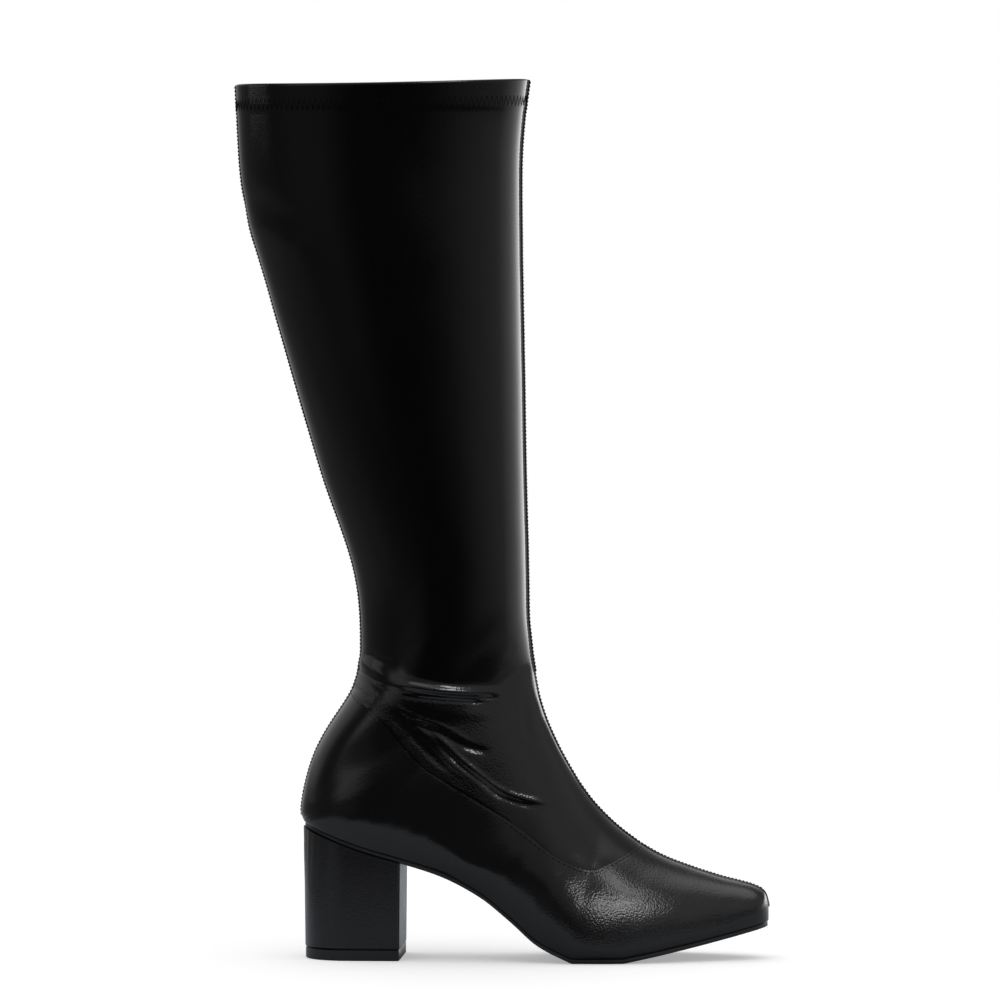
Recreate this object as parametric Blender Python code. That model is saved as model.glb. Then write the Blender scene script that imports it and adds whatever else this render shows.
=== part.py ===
"""Tall stretch boot for the right foot, on a block heel.

Metres. +X runs to the toe, +Y to the inner side of the foot, +Z up, and the floor is z = 0.
One function gives every point of the last; foot part and leg are hollow walls taken from it,
and they meet along the seam that runs from the back of the ankle to the front ridge.
"""
import math
from collections import namedtuple

import bmesh
import bpy
import numpy as np
from mathutils import Vector

# Driving sizes
FOOT_LENGTH = 0.250
BALL_WIDTH = 0.080
BOOT_HEIGHT = 0.470
HEEL_HEIGHT = 0.0735
TOE_SPRING = 0.0176
SOLE_THICKNESS = 0.0030
FOOT_WALL = 0.0018
SHAFT_WALL = 0.0015
INSOLE_THICKNESS = 0.0022
TOP_PIECE_HEIGHT = 0.0060
HEM_HEIGHT = 0.0150
HEM_STEP = 0.0008
SEAM_RIDGE = 0.0006
COLLAR_DIP = 0.0020
SEAM_GAP = 0.0003
SOLE_INSET = 0.0006
SOLE_EDGE_LIFT = 0.0008
TOP_PIECE_INSET = 0.0003

# Rounding of the plan outline at both ends of the foot
HEEL_START = 0.0012
HEEL_ROUND = 0.027
HEEL_SQUARENESS = 2.2
TOE_ROUND = 0.008
TOE_SQUARENESS = 2.6

# Share of the width at which a section counts as open underneath; below it, it closes to the back seam
OPEN_UNDER = 0.85

# Heel block
HEEL_BACK = 0.0010
HEEL_BREAST = 0.0545
HEEL_BLOCK_WIDTH = 0.0545
HEEL_TAPER = 0.0008
HEEL_CORNER = 0.0016

# Middle of the whole boot along X, where the origin stands
COLLAR_BACK = -0.0365
MIDDLE_X = (COLLAR_BACK + FOOT_LENGTH) / 2

# Sections of the last, from the toe to the collar. Each lies in a plane through a point of the
# front ridge and a point of the sole's edge or back seam. Columns in percent:
# front_x, back_x of FOOT_LENGTH, front_z, back_z of BOOT_HEIGHT, outer, inner, ridge of BALL_WIDTH.
# A section on the sole takes its back_z from the sole line.
# widest is the place of the greatest width on the way from front to back,
# crown and under say how full the section is before and behind it (2 is an ellipse).
Section = namedtuple(
    "Section", "name station front_x front_z back_x back_z outer inner ridge widest crown under")
ON_SOLE = 0.0
SECTIONS = [Section(*row) for row in (
    ("toe tip", 0, 100.0, 6.0, 100.0, ON_SOLE, 8.8, 23.8, 7.5, 0.60, 2.40, 2.0),
    ("toe corner", 3, 99.4, 7.2, 99.4, ON_SOLE, 10.0, 24.8, 7.5, 0.60, 2.40, 2.0),
    ("toe top", 7, 98.2, 7.9, 98.2, ON_SOLE, 11.8, 26.0, 7.5, 0.62, 2.38, 2.0),
    ("toe box", 21, 92.4, 8.9, 92.4, ON_SOLE, 18.8, 34.4, 7.3, 0.66, 2.30, 2.0),
    ("tread", 42, 84.4, 10.15, 83.6, ON_SOLE, 30.6, 43.8, 6.2, 0.72, 2.15, 2.0),
    ("ball", 70, 75.2, 12.2, 72.0, ON_SOLE, 45.0, 51.2, 4.4, 0.78, 2.00, 2.0),
    ("throat", 102, 66.0, 15.8, 60.0, ON_SOLE, 50.6, 46.2, 2.5, 0.78, 1.90, 2.0),
    ("instep", 137, 59.9, 19.6, 47.2, ON_SOLE, 45.6, 38.8, 1.2, 0.74, 1.85, 2.0),
    ("waist", 170, 56.1, 23.0, 35.2, ON_SOLE, 41.9, 37.5, 0.3, 0.68, 1.85, 2.1),
    ("bend", 204, 53.1, 26.3, 23.2, ON_SOLE, 40.6, 38.8, 0.0, 0.63, 1.85, 2.3),
    ("breast", 232, 51.4, 28.8, 12.0, ON_SOLE, 40.0, 39.4, 0.0, 0.58, 1.88, 2.6),
    ("seat", 252, 50.4, 30.9, 4.0, ON_SOLE, 40.0, 39.4, 0.0, 0.55, 1.90, 2.8),
    ("heel back", 264, 49.9, 32.4, 0.5, ON_SOLE, 40.0, 40.0, 0.0, 0.53, 1.90, 2.8),
    ("counter", 276, 49.5, 33.7, 0.0, 17.5, 39.6, 39.6, 0.0, 0.52, 1.90, 2.7),
    ("counter top", 304, 48.9, 36.7, 3.2, 23.7, 39.0, 39.0, 0.0, 0.50, 1.95, 2.35),
    ("tendon", 326, 48.6, 39.0, 7.8, 27.9, 38.5, 38.5, 0.0, 0.50, 2.00, 2.1),
    ("nape", 346, 48.5, 41.6, 11.6, 31.6, 38.4, 38.4, 0.0, 0.50, 2.00, 1.95),
    ("ankle", 371, 48.4, 45.0, 12.7, 37.3, 38.9, 38.9, 0.0, 0.50, 2.00, 1.9),
    ("low shin", 402, 48.2, 49.5, 11.2, 44.3, 40.3, 40.3, 0.0, 0.50, 2.00, 1.9),
    ("shin", 440, 47.9, 55.7, 5.5, 53.3, 42.4, 42.4, 0.0, 0.50, 2.00, 1.95),
    ("low calf", 492, 47.6, 65.7, -1.6, 65.7, 45.6, 45.6, 0.0, 0.50, 2.00, 2.0),
    ("calf", 546, 47.2, 77.2, -7.7, 77.2, 47.5, 47.5, 0.0, 0.50, 2.00, 2.0),
    ("high calf", 588, 47.0, 86.1, -12.2, 85.9, 48.1, 48.1, 0.0, 0.50, 2.00, 2.0),
    ("below hem", 623, 47.3, 93.4, -13.6, 93.2, 48.1, 48.1, 0.0, 0.50, 2.00, 2.0),
    ("collar", 654, 48.7, 99.9, -14.1, 99.4, 49.4, 49.4, 0.0, 0.50, 2.00, 2.0),
)]
STATION_OF = {row.name: row.station for row in SECTIONS}

# Edge line of the sole seen from the side: along in percent of FOOT_LENGTH,
# rise in percent of HEEL_HEIGHT behind the ball and of TOE_SPRING before it.
SoleRow = namedtuple("SoleRow", "name along rise")
SOLE_BEHIND_BALL = [SoleRow(*row) for row in (
    ("heel back", 0.5, 100.0),
    ("heel seat", 7.2, 90.4),
    ("seat front", 15.2, 80.4),
    ("breast", 21.2, 74.4),
    ("shank", 30.4, 64.0),
    ("waist", 38.8, 48.4),
    ("arch", 45.2, 30.8),
    ("arch foot", 51.2, 12.6),
    ("ball rear", 58.4, 0.0),
)]
SOLE_BEFORE_BALL = [SoleRow(*row) for row in (
    ("ball front", 69.6, 0.0),
    ("tread rise", 78.8, 26.0),
    ("toe", 92.4, 71.0),
    ("toe tip", 100.0, 100.0),
)]

# Plan outline of the sole's edge from the middle line: along in percent of FOOT_LENGTH,
# outer and inner in percent of BALL_WIDTH. Both ends are rounded off by outline().
OutlineRow = namedtuple("OutlineRow", "name along outer inner")
OUTLINE = [OutlineRow(*row) for row in (
    ("heel back", 0.0, 33.8, 33.8),
    ("heel seat", 12.0, 33.8, 33.2),
    ("breast", 23.2, 34.0, 31.0),
    ("waist", 37.6, 34.4, 24.6),
    ("arch", 47.2, 39.4, 26.8),
    ("outer ball", 60.0, 46.2, 40.0),
    ("ball", 66.0, 45.6, 46.0),
    ("inner ball", 72.0, 41.2, 48.2),
    ("tread", 83.6, 26.9, 40.5),
    ("toe box", 92.4, 16.0, 31.5),
    ("toe top", 98.2, 9.4, 24.0),
    ("toe tip", 100.0, 7.5, 22.5),
)]

# Seam between foot part and leg seen from the side:
# along in percent of FOOT_LENGTH, rise in percent of BOOT_HEIGHT.
SeamRow = namedtuple("SeamRow", "name along rise")
VAMP_SEAM = [SeamRow(*row) for row in (
    ("behind", 0.0, 35.6),
    ("back of ankle", 10.8, 30.5),
    ("counter", 17.6, 27.3),
    ("side", 26.4, 22.2),
    ("waist", 36.8, 18.7),
    ("instep", 48.0, 15.0),
    ("drop", 55.6, 11.9),
    ("point", 62.8, 10.5),
    ("rise", 67.2, 11.4),
    ("front ridge", 72.4, 13.0),
)]

# Fineness of the walls; the girth lines lie closer where the vamp seam runs along them
RIDGE_GIRTH = 0.02
SEAM_GIRTHS = (0.28, 0.45)
TOP_STEPS = 4
SEAM_STEPS = 8
BACK_STEPS = 6
FOOT_ROWS = 26
COUNTER_ROWS = 6
SHAFT_ROWS = 25
SOLE_ROWS = 34
INSOLE_END = 0.007
INSOLE_END_STEPS = 5
HEEL_ROWS = 14
BREAST_ROWS = 4
SHARP_ANGLE = math.radians(35)
SOLE_ACROSS = (-1, -0.95, -0.5, 0, 0.5, 0.95, 1)
PLATE_ACROSS = (-1, -0.5, 0, 0.5, 1)

# Small steps with which directions, the seam and meeting points are found
STATIONS_PER_METRE = 1000
NORMAL_STEP = 0.02
NORMAL_TURN = 0.0005
SLOPE_STEP = 0.0005
SEAM_SEARCH = 40
NEAR = 1e-6
WELD = 1e-6


def natural_spline(places, values):
    """Smooth curve through all values, without a kink in its bend."""
    places = np.array(places, float)
    values = np.array(values, float)
    count = len(places)
    gaps = np.diff(places)
    slopes = np.diff(values) / gaps
    system = np.eye(count)
    right = np.zeros(count)
    for k in range(1, count - 1):
        system[k, k - 1:k + 2] = gaps[k - 1], 2 * (gaps[k - 1] + gaps[k]), gaps[k]
        right[k] = 6 * (slopes[k] - slopes[k - 1])
    bends = np.linalg.solve(system, right)

    def value(place):
        k = int(np.clip(np.searchsorted(places, place) - 1, 0, count - 2))
        ahead = (place - places[k]) / gaps[k]
        behind = 1 - ahead
        curve = (behind ** 3 - behind) * bends[k] + (ahead ** 3 - ahead) * bends[k + 1]
        return float(behind * values[k] + ahead * values[k + 1] + curve * gaps[k] ** 2 / 6)

    return value


def steady_curve(places, values):
    """Curve through all values that never swings past them; straight on beyond both ends."""
    places = np.array(places, float)
    values = np.array(values, float)
    gaps = np.diff(places)
    slopes = np.diff(values) / gaps
    tangents = np.concatenate(([slopes[0]], np.zeros(len(slopes) - 1), [slopes[-1]]))
    for k in range(1, len(slopes)):
        before, after = slopes[k - 1], slopes[k]
        if before * after > 0:
            first = 2 * gaps[k] + gaps[k - 1]
            second = gaps[k] + 2 * gaps[k - 1]
            tangents[k] = (first + second) / (first / before + second / after)

    def value(place):
        if place <= places[0]:
            return float(values[0] + tangents[0] * (place - places[0]))
        if place >= places[-1]:
            return float(values[-1] + tangents[-1] * (place - places[-1]))
        k = int(np.clip(np.searchsorted(places, place) - 1, 0, len(gaps) - 1))
        s = (place - places[k]) / gaps[k]
        start = values[k] * (1 + 2 * s) * (1 - s) ** 2 + tangents[k] * gaps[k] * s * (1 - s) ** 2
        end = values[k + 1] * s * s * (3 - 2 * s) + tangents[k + 1] * gaps[k] * s * s * (s - 1)
        return float(start + end)

    return value


def table_curve(rows, place, column, place_size, column_size):
    """Curve of one column of a table over another, both turned from percent into metres."""
    places = [getattr(row, place) * place_size / 100 for row in rows]
    values = [getattr(row, column) * column_size / 100 for row in rows]
    return steady_curve(places, values)


def section_curve(column, size=1.0):
    """Smooth curve of one column of SECTIONS over the station."""
    return natural_spline([row.station for row in SECTIONS],
                          [getattr(row, column) * size for row in SECTIONS])


PERCENT = 0.01
FRONT_X = section_curve("front_x", FOOT_LENGTH * PERCENT)
FRONT_Z = section_curve("front_z", BOOT_HEIGHT * PERCENT)
BACK_X = section_curve("back_x", FOOT_LENGTH * PERCENT)
OUTER = section_curve("outer", BALL_WIDTH * PERCENT)
INNER = section_curve("inner", BALL_WIDTH * PERCENT)
RIDGE = section_curve("ridge", BALL_WIDTH * PERCENT)
WIDEST = section_curve("widest")
CROWN = section_curve("crown")
UNDER = section_curve("under")
LEG = [row for row in SECTIONS if row.station >= STATION_OF["heel back"]]
LEG_BACK_Z = natural_spline(
    [row.station for row in LEG],
    [HEEL_HEIGHT if row.back_z == ON_SOLE else row.back_z * BOOT_HEIGHT * PERCENT for row in LEG])
RISE_BEHIND = table_curve(SOLE_BEHIND_BALL, "along", "rise", FOOT_LENGTH, HEEL_HEIGHT - SOLE_THICKNESS)
RISE_BEFORE = table_curve(SOLE_BEFORE_BALL, "along", "rise", FOOT_LENGTH, TOE_SPRING)
EDGE_OUTER = table_curve(OUTLINE, "along", "outer", FOOT_LENGTH, BALL_WIDTH)
EDGE_INNER = table_curve(OUTLINE, "along", "inner", FOOT_LENGTH, BALL_WIDTH)
SEAM_RISE = table_curve(VAMP_SEAM, "along", "rise", FOOT_LENGTH, BOOT_HEIGHT)
BALL_REAR = SOLE_BEHIND_BALL[-1].along * FOOT_LENGTH * PERCENT
BALL_FRONT = SOLE_BEFORE_BALL[0].along * FOOT_LENGTH * PERCENT


def sole_line(x):
    """Height of the upper's lower edge above the floor."""
    if x < BALL_REAR:
        return SOLE_THICKNESS + RISE_BEHIND(x)
    if x > BALL_FRONT:
        return SOLE_THICKNESS + RISE_BEFORE(x)
    return SOLE_THICKNESS


def rounded_end(depth, reach, squareness):
    """Share of the full width at a depth behind a rounded end."""
    left = 1 - min(max(depth / reach, 0.0), 1.0)
    return (1 - left ** squareness) ** (1 / squareness)


def toe_share(x):
    return rounded_end(FOOT_LENGTH - x, TOE_ROUND, TOE_SQUARENESS)


def outline(x, side, inset=0.0):
    """Edge of the sole in plan; side is -1 for the outer and 1 for the inner edge."""
    start = HEEL_START + inset
    stretch = (FOOT_LENGTH - 2 * inset - HEEL_START) / (FOOT_LENGTH - HEEL_START)
    full_x = HEEL_START + (x - start) / stretch
    middle = (EDGE_INNER(full_x) - EDGE_OUTER(full_x)) / 2
    half = (EDGE_INNER(full_x) + EDGE_OUTER(full_x)) / 2 - inset
    heel = rounded_end(full_x - HEEL_START, HEEL_ROUND, HEEL_SQUARENESS)
    return middle + side * half * heel * toe_share(full_x)


def on_sole(station):
    return station < STATION_OF["heel back"] - NEAR


def evenness(station):
    """1 where the girth lines lie evenly on the lower wall, 0 where they follow the round of the back."""
    start, end = STATION_OF["waist"], STATION_OF["heel back"]
    left = min(max((end - station) / (end - start), 0.0), 1.0)
    return left * left * (3 - 2 * left)


def last_point(station, girth):
    """Point of the last: girth 0 is the front ridge, -1 and 1 the sole's edge or the back seam."""
    side = -1 if girth < 0 else 1
    front = Vector((FRONT_X(station), 0, FRONT_Z(station)))
    back_x = max(BACK_X(station), HEEL_START) if on_sole(station) else BACK_X(station)
    back_z = sole_line(back_x) if on_sole(station) else LEG_BACK_Z(station)
    back = Vector((back_x, 0, back_z))
    narrowing = toe_share(back_x) if on_sole(station) else 1.0
    middle = (INNER(station) - OUTER(station)) / 2
    half = (INNER(station) + OUTER(station)) / 2
    broad = middle + side * half * narrowing
    edge = outline(back_x, side) if on_sole(station) else 0.0
    turn = abs(girth) * math.pi
    widest = WIDEST(station)
    if abs(girth) <= 0.5:
        power = 2 / CROWN(station)
        share = widest * (1 - max(math.cos(turn), 0.0) ** power)
        ridge = RIDGE(station)
        y = ridge + (broad - ridge) * math.sin(turn) ** power
    else:
        under = UNDER(station)
        full = half * narrowing
        openness = min(abs(edge - middle) / full / OPEN_UNDER, 1.0) if full > 0 else 1.0
        closing = 1 + (under - 1) * (1 - openness)
        even_way = 2 * abs(girth) - 1
        round_way = max(-math.cos(turn), 0.0) ** (2 / under)
        way = round_way + (even_way - round_way) * evenness(station)
        share = widest + (1 - widest) * way
        y = edge + (broad - edge) * max(1 - way ** under, 0.0) ** (1 / closing)
    point = front.lerp(back, share)
    hang = min(max((station - STATION_OF["calf"]) / (STATION_OF["collar"] - STATION_OF["calf"]), 0), 1)
    point.z -= COLLAR_DIP * hang ** 2 * (y / half) ** 2
    return Vector((point.x - MIDDLE_X, y, point.z))


def last_normal(station, girth):
    """Outward direction of the last at one point."""
    if station == STATION_OF["toe tip"]:
        return Vector((1, 0, 0))
    step = min(NORMAL_STEP, station)
    lower = last_point(station - step, girth)
    upper = last_point(min(station + step, STATION_OF["collar"]), girth)
    one = last_point(station, max(girth - NORMAL_TURN, -1.0))
    other = last_point(station, min(girth + NORMAL_TURN, 1.0))
    normal = (other - one).cross(upper - lower)
    if abs(girth) == 1.0 and not on_sole(station):
        normal.y = 0.0
    return normal.normalized()


def seam_station(girth, clear=0.0):
    """Station at which one girth line of the last crosses the seam between foot part and leg.

    clear moves the crossing square to the seam line, up for the leg and down for the foot part.
    """
    low = 0.0
    high = float(STATION_OF["calf"])
    for _ in range(SEAM_SEARCH):
        middle = (low + high) / 2
        point = last_point(middle, girth)
        x = point.x + MIDDLE_X
        slope = (SEAM_RISE(x + SLOPE_STEP) - SEAM_RISE(x - SLOPE_STEP)) / (2 * SLOPE_STEP)
        if point.z > SEAM_RISE(x) + clear * math.hypot(1.0, slope):
            high = middle
        else:
            low = middle
    return (low + high) / 2


def girth_lines():
    """Girth values from the outer edge over the front ridge to the inner edge."""
    half = [0.0, RIDGE_GIRTH]
    half += even(TOP_STEPS, 0.0, SEAM_GIRTHS[0])[1:]
    half += even(SEAM_STEPS, *SEAM_GIRTHS)[1:] + [0.5]
    half += even(BACK_STEPS, 0.5, 1.0)[1:-1] + [1 - RIDGE_GIRTH, 1.0]
    return [-value for value in reversed(half[1:])] + half


def wall_sheets(rows, wall, raised):
    """Outer and inner sheet of a wall; rows hold (station, girth) pairs."""
    outer = []
    inner = []
    for row in rows:
        outer_row = []
        inner_row = []
        for station, girth in row:
            point = last_point(station, girth)
            normal = last_normal(station, girth)
            outer_row.append(point + normal * raised(station, girth))
            inner_row.append(point - normal * wall)
        outer.append(outer_row)
        inner.append(inner_row)
    return outer, inner


def seam_rise(station, girth):
    """Raised seam on the front ridge and, above the heel, on the back."""
    on_back = abs(girth) == 1.0 and not on_sole(station)
    return SEAM_RIDGE if girth == 0.0 or on_back else 0.0


def end_dense(count, start, end):
    """Places from start to end that lie closer at both ends."""
    return [start + (end - start) * (1 - math.cos(math.pi * k / count)) / 2 for k in range(count + 1)]


def even(count, start, end):
    return [start + (end - start) * k / count for k in range(count + 1)]


def solid_between(name, outer, inner, collection, colour, roughness):
    """Closed solid between two sheets of points with one grid; points that meet are one point."""
    numbers = {}
    points = []
    partners = []
    grid = []
    for outer_row, inner_row in zip(outer, inner):
        line = []
        for point, partner in zip(outer_row, inner_row):
            key = tuple(round(value / WELD) for value in point)
            if key not in numbers:
                numbers[key] = len(points)
                points.append(point)
                partners.append([])
            partners[numbers[key]].append(partner)
            line.append(numbers[key])
        grid.append(line)
    partners = [sum(group, Vector((0, 0, 0))) / len(group) for group in partners]
    faces = []
    uses = {}
    for row, following in zip(grid, grid[1:]):
        for j in range(len(row) - 1):
            corners = [row[j], row[j + 1], following[j + 1], following[j]]
            corners = [c for k, c in enumerate(corners) if c != corners[k - 1]]
            if len(set(corners)) < 3:
                continue
            faces.append(corners)
            for k, corner in enumerate(corners):
                uses.setdefault(frozenset((corners[k - 1], corner)), []).append((corners[k - 1], corner))
    under = len(points)
    mesh_faces = list(faces) + [[under + c for c in reversed(face)] for face in faces]
    for ways in uses.values():
        if len(ways) == 1:
            first, second = ways[0]
            mesh_faces.append([second, first, under + first, under + second])
    mesh = bpy.data.meshes.new(name)
    mesh.from_pydata([tuple(p) for p in points + partners], [], mesh_faces)
    work = bmesh.new()
    work.from_mesh(mesh)
    bmesh.ops.recalc_face_normals(work, faces=work.faces)
    work.to_mesh(mesh)
    work.free()
    mesh.shade_smooth()
    mesh.set_sharp_from_angle(angle=SHARP_ANGLE)
    material = bpy.data.materials.new(name + " material")
    material.use_nodes = True
    shader = material.node_tree.nodes["Principled BSDF"]
    shader.inputs["Base Color"].default_value = (*colour, 1.0)
    shader.inputs["Roughness"].default_value = roughness
    mesh.materials.append(material)
    piece = bpy.data.objects.new(name, mesh)
    collection.objects.link(piece)
    return piece


def foot_part(collection):
    """Vamp and counter: from the toe back to the seam, open underneath."""
    heel_share = STATION_OF["heel back"] / seam_station(1.0, -SEAM_GAP / 2)
    shares = end_dense(FOOT_ROWS, 0.0, heel_share) + even(COUNTER_ROWS, heel_share, 1.0)[1:]
    lines = girth_lines()
    ends = [seam_station(girth, -SEAM_GAP / 2) for girth in lines]
    rows = [[(share * end, girth) for girth, end in zip(lines, ends)] for share in shares]
    outer, inner = wall_sheets(rows, FOOT_WALL, seam_rise)
    return solid_between("upper", outer, inner, collection, (0.012, 0.012, 0.014), 0.18)


def leg(collection):
    """Stretch leg: from the seam up to the collar, with a turned hem."""
    top = STATION_OF["collar"]
    hem = top - HEM_HEIGHT * STATIONS_PER_METRE
    step = HEM_STEP * STATIONS_PER_METRE / 2
    lines = girth_lines()
    starts = [seam_station(girth, SEAM_GAP / 2) for girth in lines]
    rows = []
    for share in even(SHAFT_ROWS, 0.0, 1.0):
        rows.append([(start + (hem - step - start) * share, girth) for girth, start in zip(lines, starts)])
    rows += [[(station, girth) for girth in lines] for station in (hem, (hem + top) / 2, top)]

    def raised(station, girth):
        return seam_rise(station, girth) + (HEM_STEP if station >= hem else 0.0)

    outer, inner = wall_sheets(rows, SHAFT_WALL, raised)
    return solid_between("shaft", outer, inner, collection, (0.010, 0.010, 0.012), 0.2)


def plate(name, places, edge, lower, upper, across, collection, colour, roughness):
    """Solid between a lower and an upper surface over a plan outline."""
    low_rows = []
    top_rows = []
    for x in places:
        low_row = []
        top_row = []
        for share in across:
            middle = (edge(x, 1) + edge(x, -1)) / 2
            half = (edge(x, 1) - edge(x, -1)) / 2
            y = middle + share * half
            low_row.append(Vector((x - MIDDLE_X, y, lower(x, share))))
            top_row.append(Vector((x - MIDDLE_X, y, upper(x, share))))
        low_rows.append(low_row)
        top_rows.append(top_row)
    return solid_between(name, low_rows, top_rows, collection, colour, roughness)


def sole_places():
    """Rows of the outsole along the foot, which the insole shares."""
    return end_dense(SOLE_ROWS, HEEL_START + SOLE_INSET, FOOT_LENGTH - SOLE_INSET)


def sole_plate(collection):
    """Thin outsole from heel back to toe, its lower edge rounded off."""
    return plate(
        "outsole", sole_places(),
        lambda x, side: outline(x, side, SOLE_INSET),
        lambda x, share: sole_line(x) - SOLE_THICKNESS + (SOLE_EDGE_LIFT if abs(share) == 1 else 0),
        lambda x, share: sole_line(x) - SEAM_GAP,
        SOLE_ACROSS, collection, (0.015, 0.015, 0.016), 0.45)


def inner_sole(collection):
    """Board and sock that fill the lower opening of the foot part."""
    inset = FOOT_WALL + SOLE_INSET
    start = HEEL_START + inset
    end = FOOT_LENGTH - inset
    round_off = [INSOLE_END * (k / INSOLE_END_STEPS) ** 2 for k in range(INSOLE_END_STEPS)]
    places = [start + depth for depth in round_off]
    places += [x for x in sole_places() if start + INSOLE_END < x < end - INSOLE_END]
    places += [end - depth for depth in reversed(round_off)]
    return plate(
        "insole", places,
        lambda x, side: outline(x, side, inset),
        lambda x, share: sole_line(x),
        lambda x, share: sole_line(x) + INSOLE_THICKNESS,
        PLATE_ACROSS, collection, (0.03, 0.028, 0.027), 0.8)


def heel_edge(x, side, shrink):
    """D outline of the heel block: round behind, flat breast with small corners."""
    back = HEEL_BACK + shrink
    breast = HEEL_BREAST - shrink / 2
    behind = rounded_end(x - back, HEEL_ROUND - HEEL_BACK, HEEL_SQUARENESS)
    corner = rounded_end(breast - x, HEEL_CORNER, 2.0)
    half = HEEL_BLOCK_WIDTH / 2 - shrink
    return side * behind * (half - HEEL_CORNER * (1 - corner))


def heel_places(shrink):
    """Rows of the heel along the foot, closer in the round back and at the breast's corners."""
    back = HEEL_BACK + shrink
    breast = HEEL_BREAST - shrink / 2
    quarter = math.pi / 2
    places = [back + (HEEL_ROUND - back) * (1 - math.cos(quarter * k / HEEL_ROWS))
              for k in range(HEEL_ROWS)]
    places += even(BREAST_ROWS, HEEL_ROUND, breast - HEEL_CORNER)[:-1]
    places += [breast - HEEL_CORNER * (1 - math.sin(quarter * k / BREAST_ROWS))
               for k in range(BREAST_ROWS + 1)]
    return places


def heel_block(collection):
    """Wrapped block heel: its top follows the heel seat, its sides draw in a little to the floor."""
    foot = TOP_PIECE_HEIGHT + SEAM_GAP
    low_rows = []
    top_rows = []
    for low_x, top_x in zip(heel_places(HEEL_TAPER), heel_places(0.0)):
        seat = sole_line(top_x) - SOLE_THICKNESS - SEAM_GAP
        low_half = heel_edge(low_x, 1, HEEL_TAPER)
        top_half = heel_edge(top_x, 1, 0.0)
        low_rows.append([Vector((low_x - MIDDLE_X, share * low_half, foot)) for share in PLATE_ACROSS])
        top_rows.append([Vector((top_x - MIDDLE_X, share * top_half, seat)) for share in PLATE_ACROSS])
    return solid_between("heel", low_rows, top_rows, collection, (0.012, 0.012, 0.013), 0.2)


def top_piece(collection):
    """Wearing piece under the heel, flat on the floor."""
    shrink = HEEL_TAPER + TOP_PIECE_INSET
    return plate(
        "top_piece", heel_places(shrink),
        lambda x, side: heel_edge(x, side, shrink),
        lambda x, share: 0.0,
        lambda x, share: TOP_PIECE_HEIGHT,
        PLATE_ACROSS, collection, (0.02, 0.02, 0.02), 0.5)


for old in list(bpy.data.objects):
    bpy.data.objects.remove(old, do_unlink=True)

boot = bpy.data.collections.new("tall stretch boot")
bpy.context.scene.collection.children.link(boot)
foot_part(boot)
leg(boot)
inner_sole(boot)
sole_plate(boot)
heel_block(boot)
top_piece(boot)
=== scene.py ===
"""Tall glossy stretch boot for the right foot: skin, folds, thread, fabric, sole and studio light.

Metres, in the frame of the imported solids: +X to the toe, +Y to the inner side of the foot, +Z up.
"""

import math
from collections import namedtuple

import bmesh
import bpy
import numpy as np
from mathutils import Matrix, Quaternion, Vector


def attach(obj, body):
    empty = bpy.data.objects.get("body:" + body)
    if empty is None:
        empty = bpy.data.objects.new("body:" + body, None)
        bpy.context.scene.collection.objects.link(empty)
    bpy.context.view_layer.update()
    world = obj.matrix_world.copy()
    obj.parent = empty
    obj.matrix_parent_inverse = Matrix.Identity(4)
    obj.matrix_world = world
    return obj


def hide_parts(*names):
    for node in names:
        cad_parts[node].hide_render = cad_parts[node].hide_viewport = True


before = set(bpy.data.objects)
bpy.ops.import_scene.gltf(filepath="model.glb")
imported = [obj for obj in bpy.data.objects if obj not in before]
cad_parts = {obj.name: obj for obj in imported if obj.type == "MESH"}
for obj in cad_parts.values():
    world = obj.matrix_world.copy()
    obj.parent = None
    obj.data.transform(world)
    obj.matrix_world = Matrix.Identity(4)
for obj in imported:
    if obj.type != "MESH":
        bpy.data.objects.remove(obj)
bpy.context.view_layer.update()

# Leg: stretch skin with a glossy black coat on a knitted back, sewn to a tube along the front ridge
# and the back, turned in at the collar and held there by a zigzag row. It sags into folds over the
# instep and is sewn to the foot part along a seam that falls from the back of the ankle to the vamp.
BODY = "root"
FOOT_LENGTH = 0.250
BALL_WIDTH = 0.080
BOOT_HEIGHT = 0.470
HEEL_HEIGHT = 0.0735
TOE_SPRING = 0.0176
SOLE_THICKNESS = 0.0030
SHAFT_WALL = 0.0015
COLLAR_DIP = 0.0020
HEEL_START = 0.0012
HEEL_ROUND = 0.027
HEEL_SQUARENESS = 2.2
TOE_ROUND = 0.008
TOE_SQUARENESS = 2.6
OPEN_UNDER = 0.88
UNDER_CLOSING = 1.4
EASE_REACH = 4.0
EASE_ZONE = 14.0
EASE_GIRTH = 0.95
MIDDLE_X = 0.10675
PERCENT = 0.01
MM = 0.001

# Steps over which slopes are taken, and what counts as the same station, no width or no length
STATION_STEP = 0.02
GIRTH_STEP = 0.0005
SEAM_STEP = 0.0005
SAME_STATION = 1e-6
NO_WIDTH = 1e-9
NO_LENGTH = 1e-12
WIDEST_GIRTH = 0.5

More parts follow.
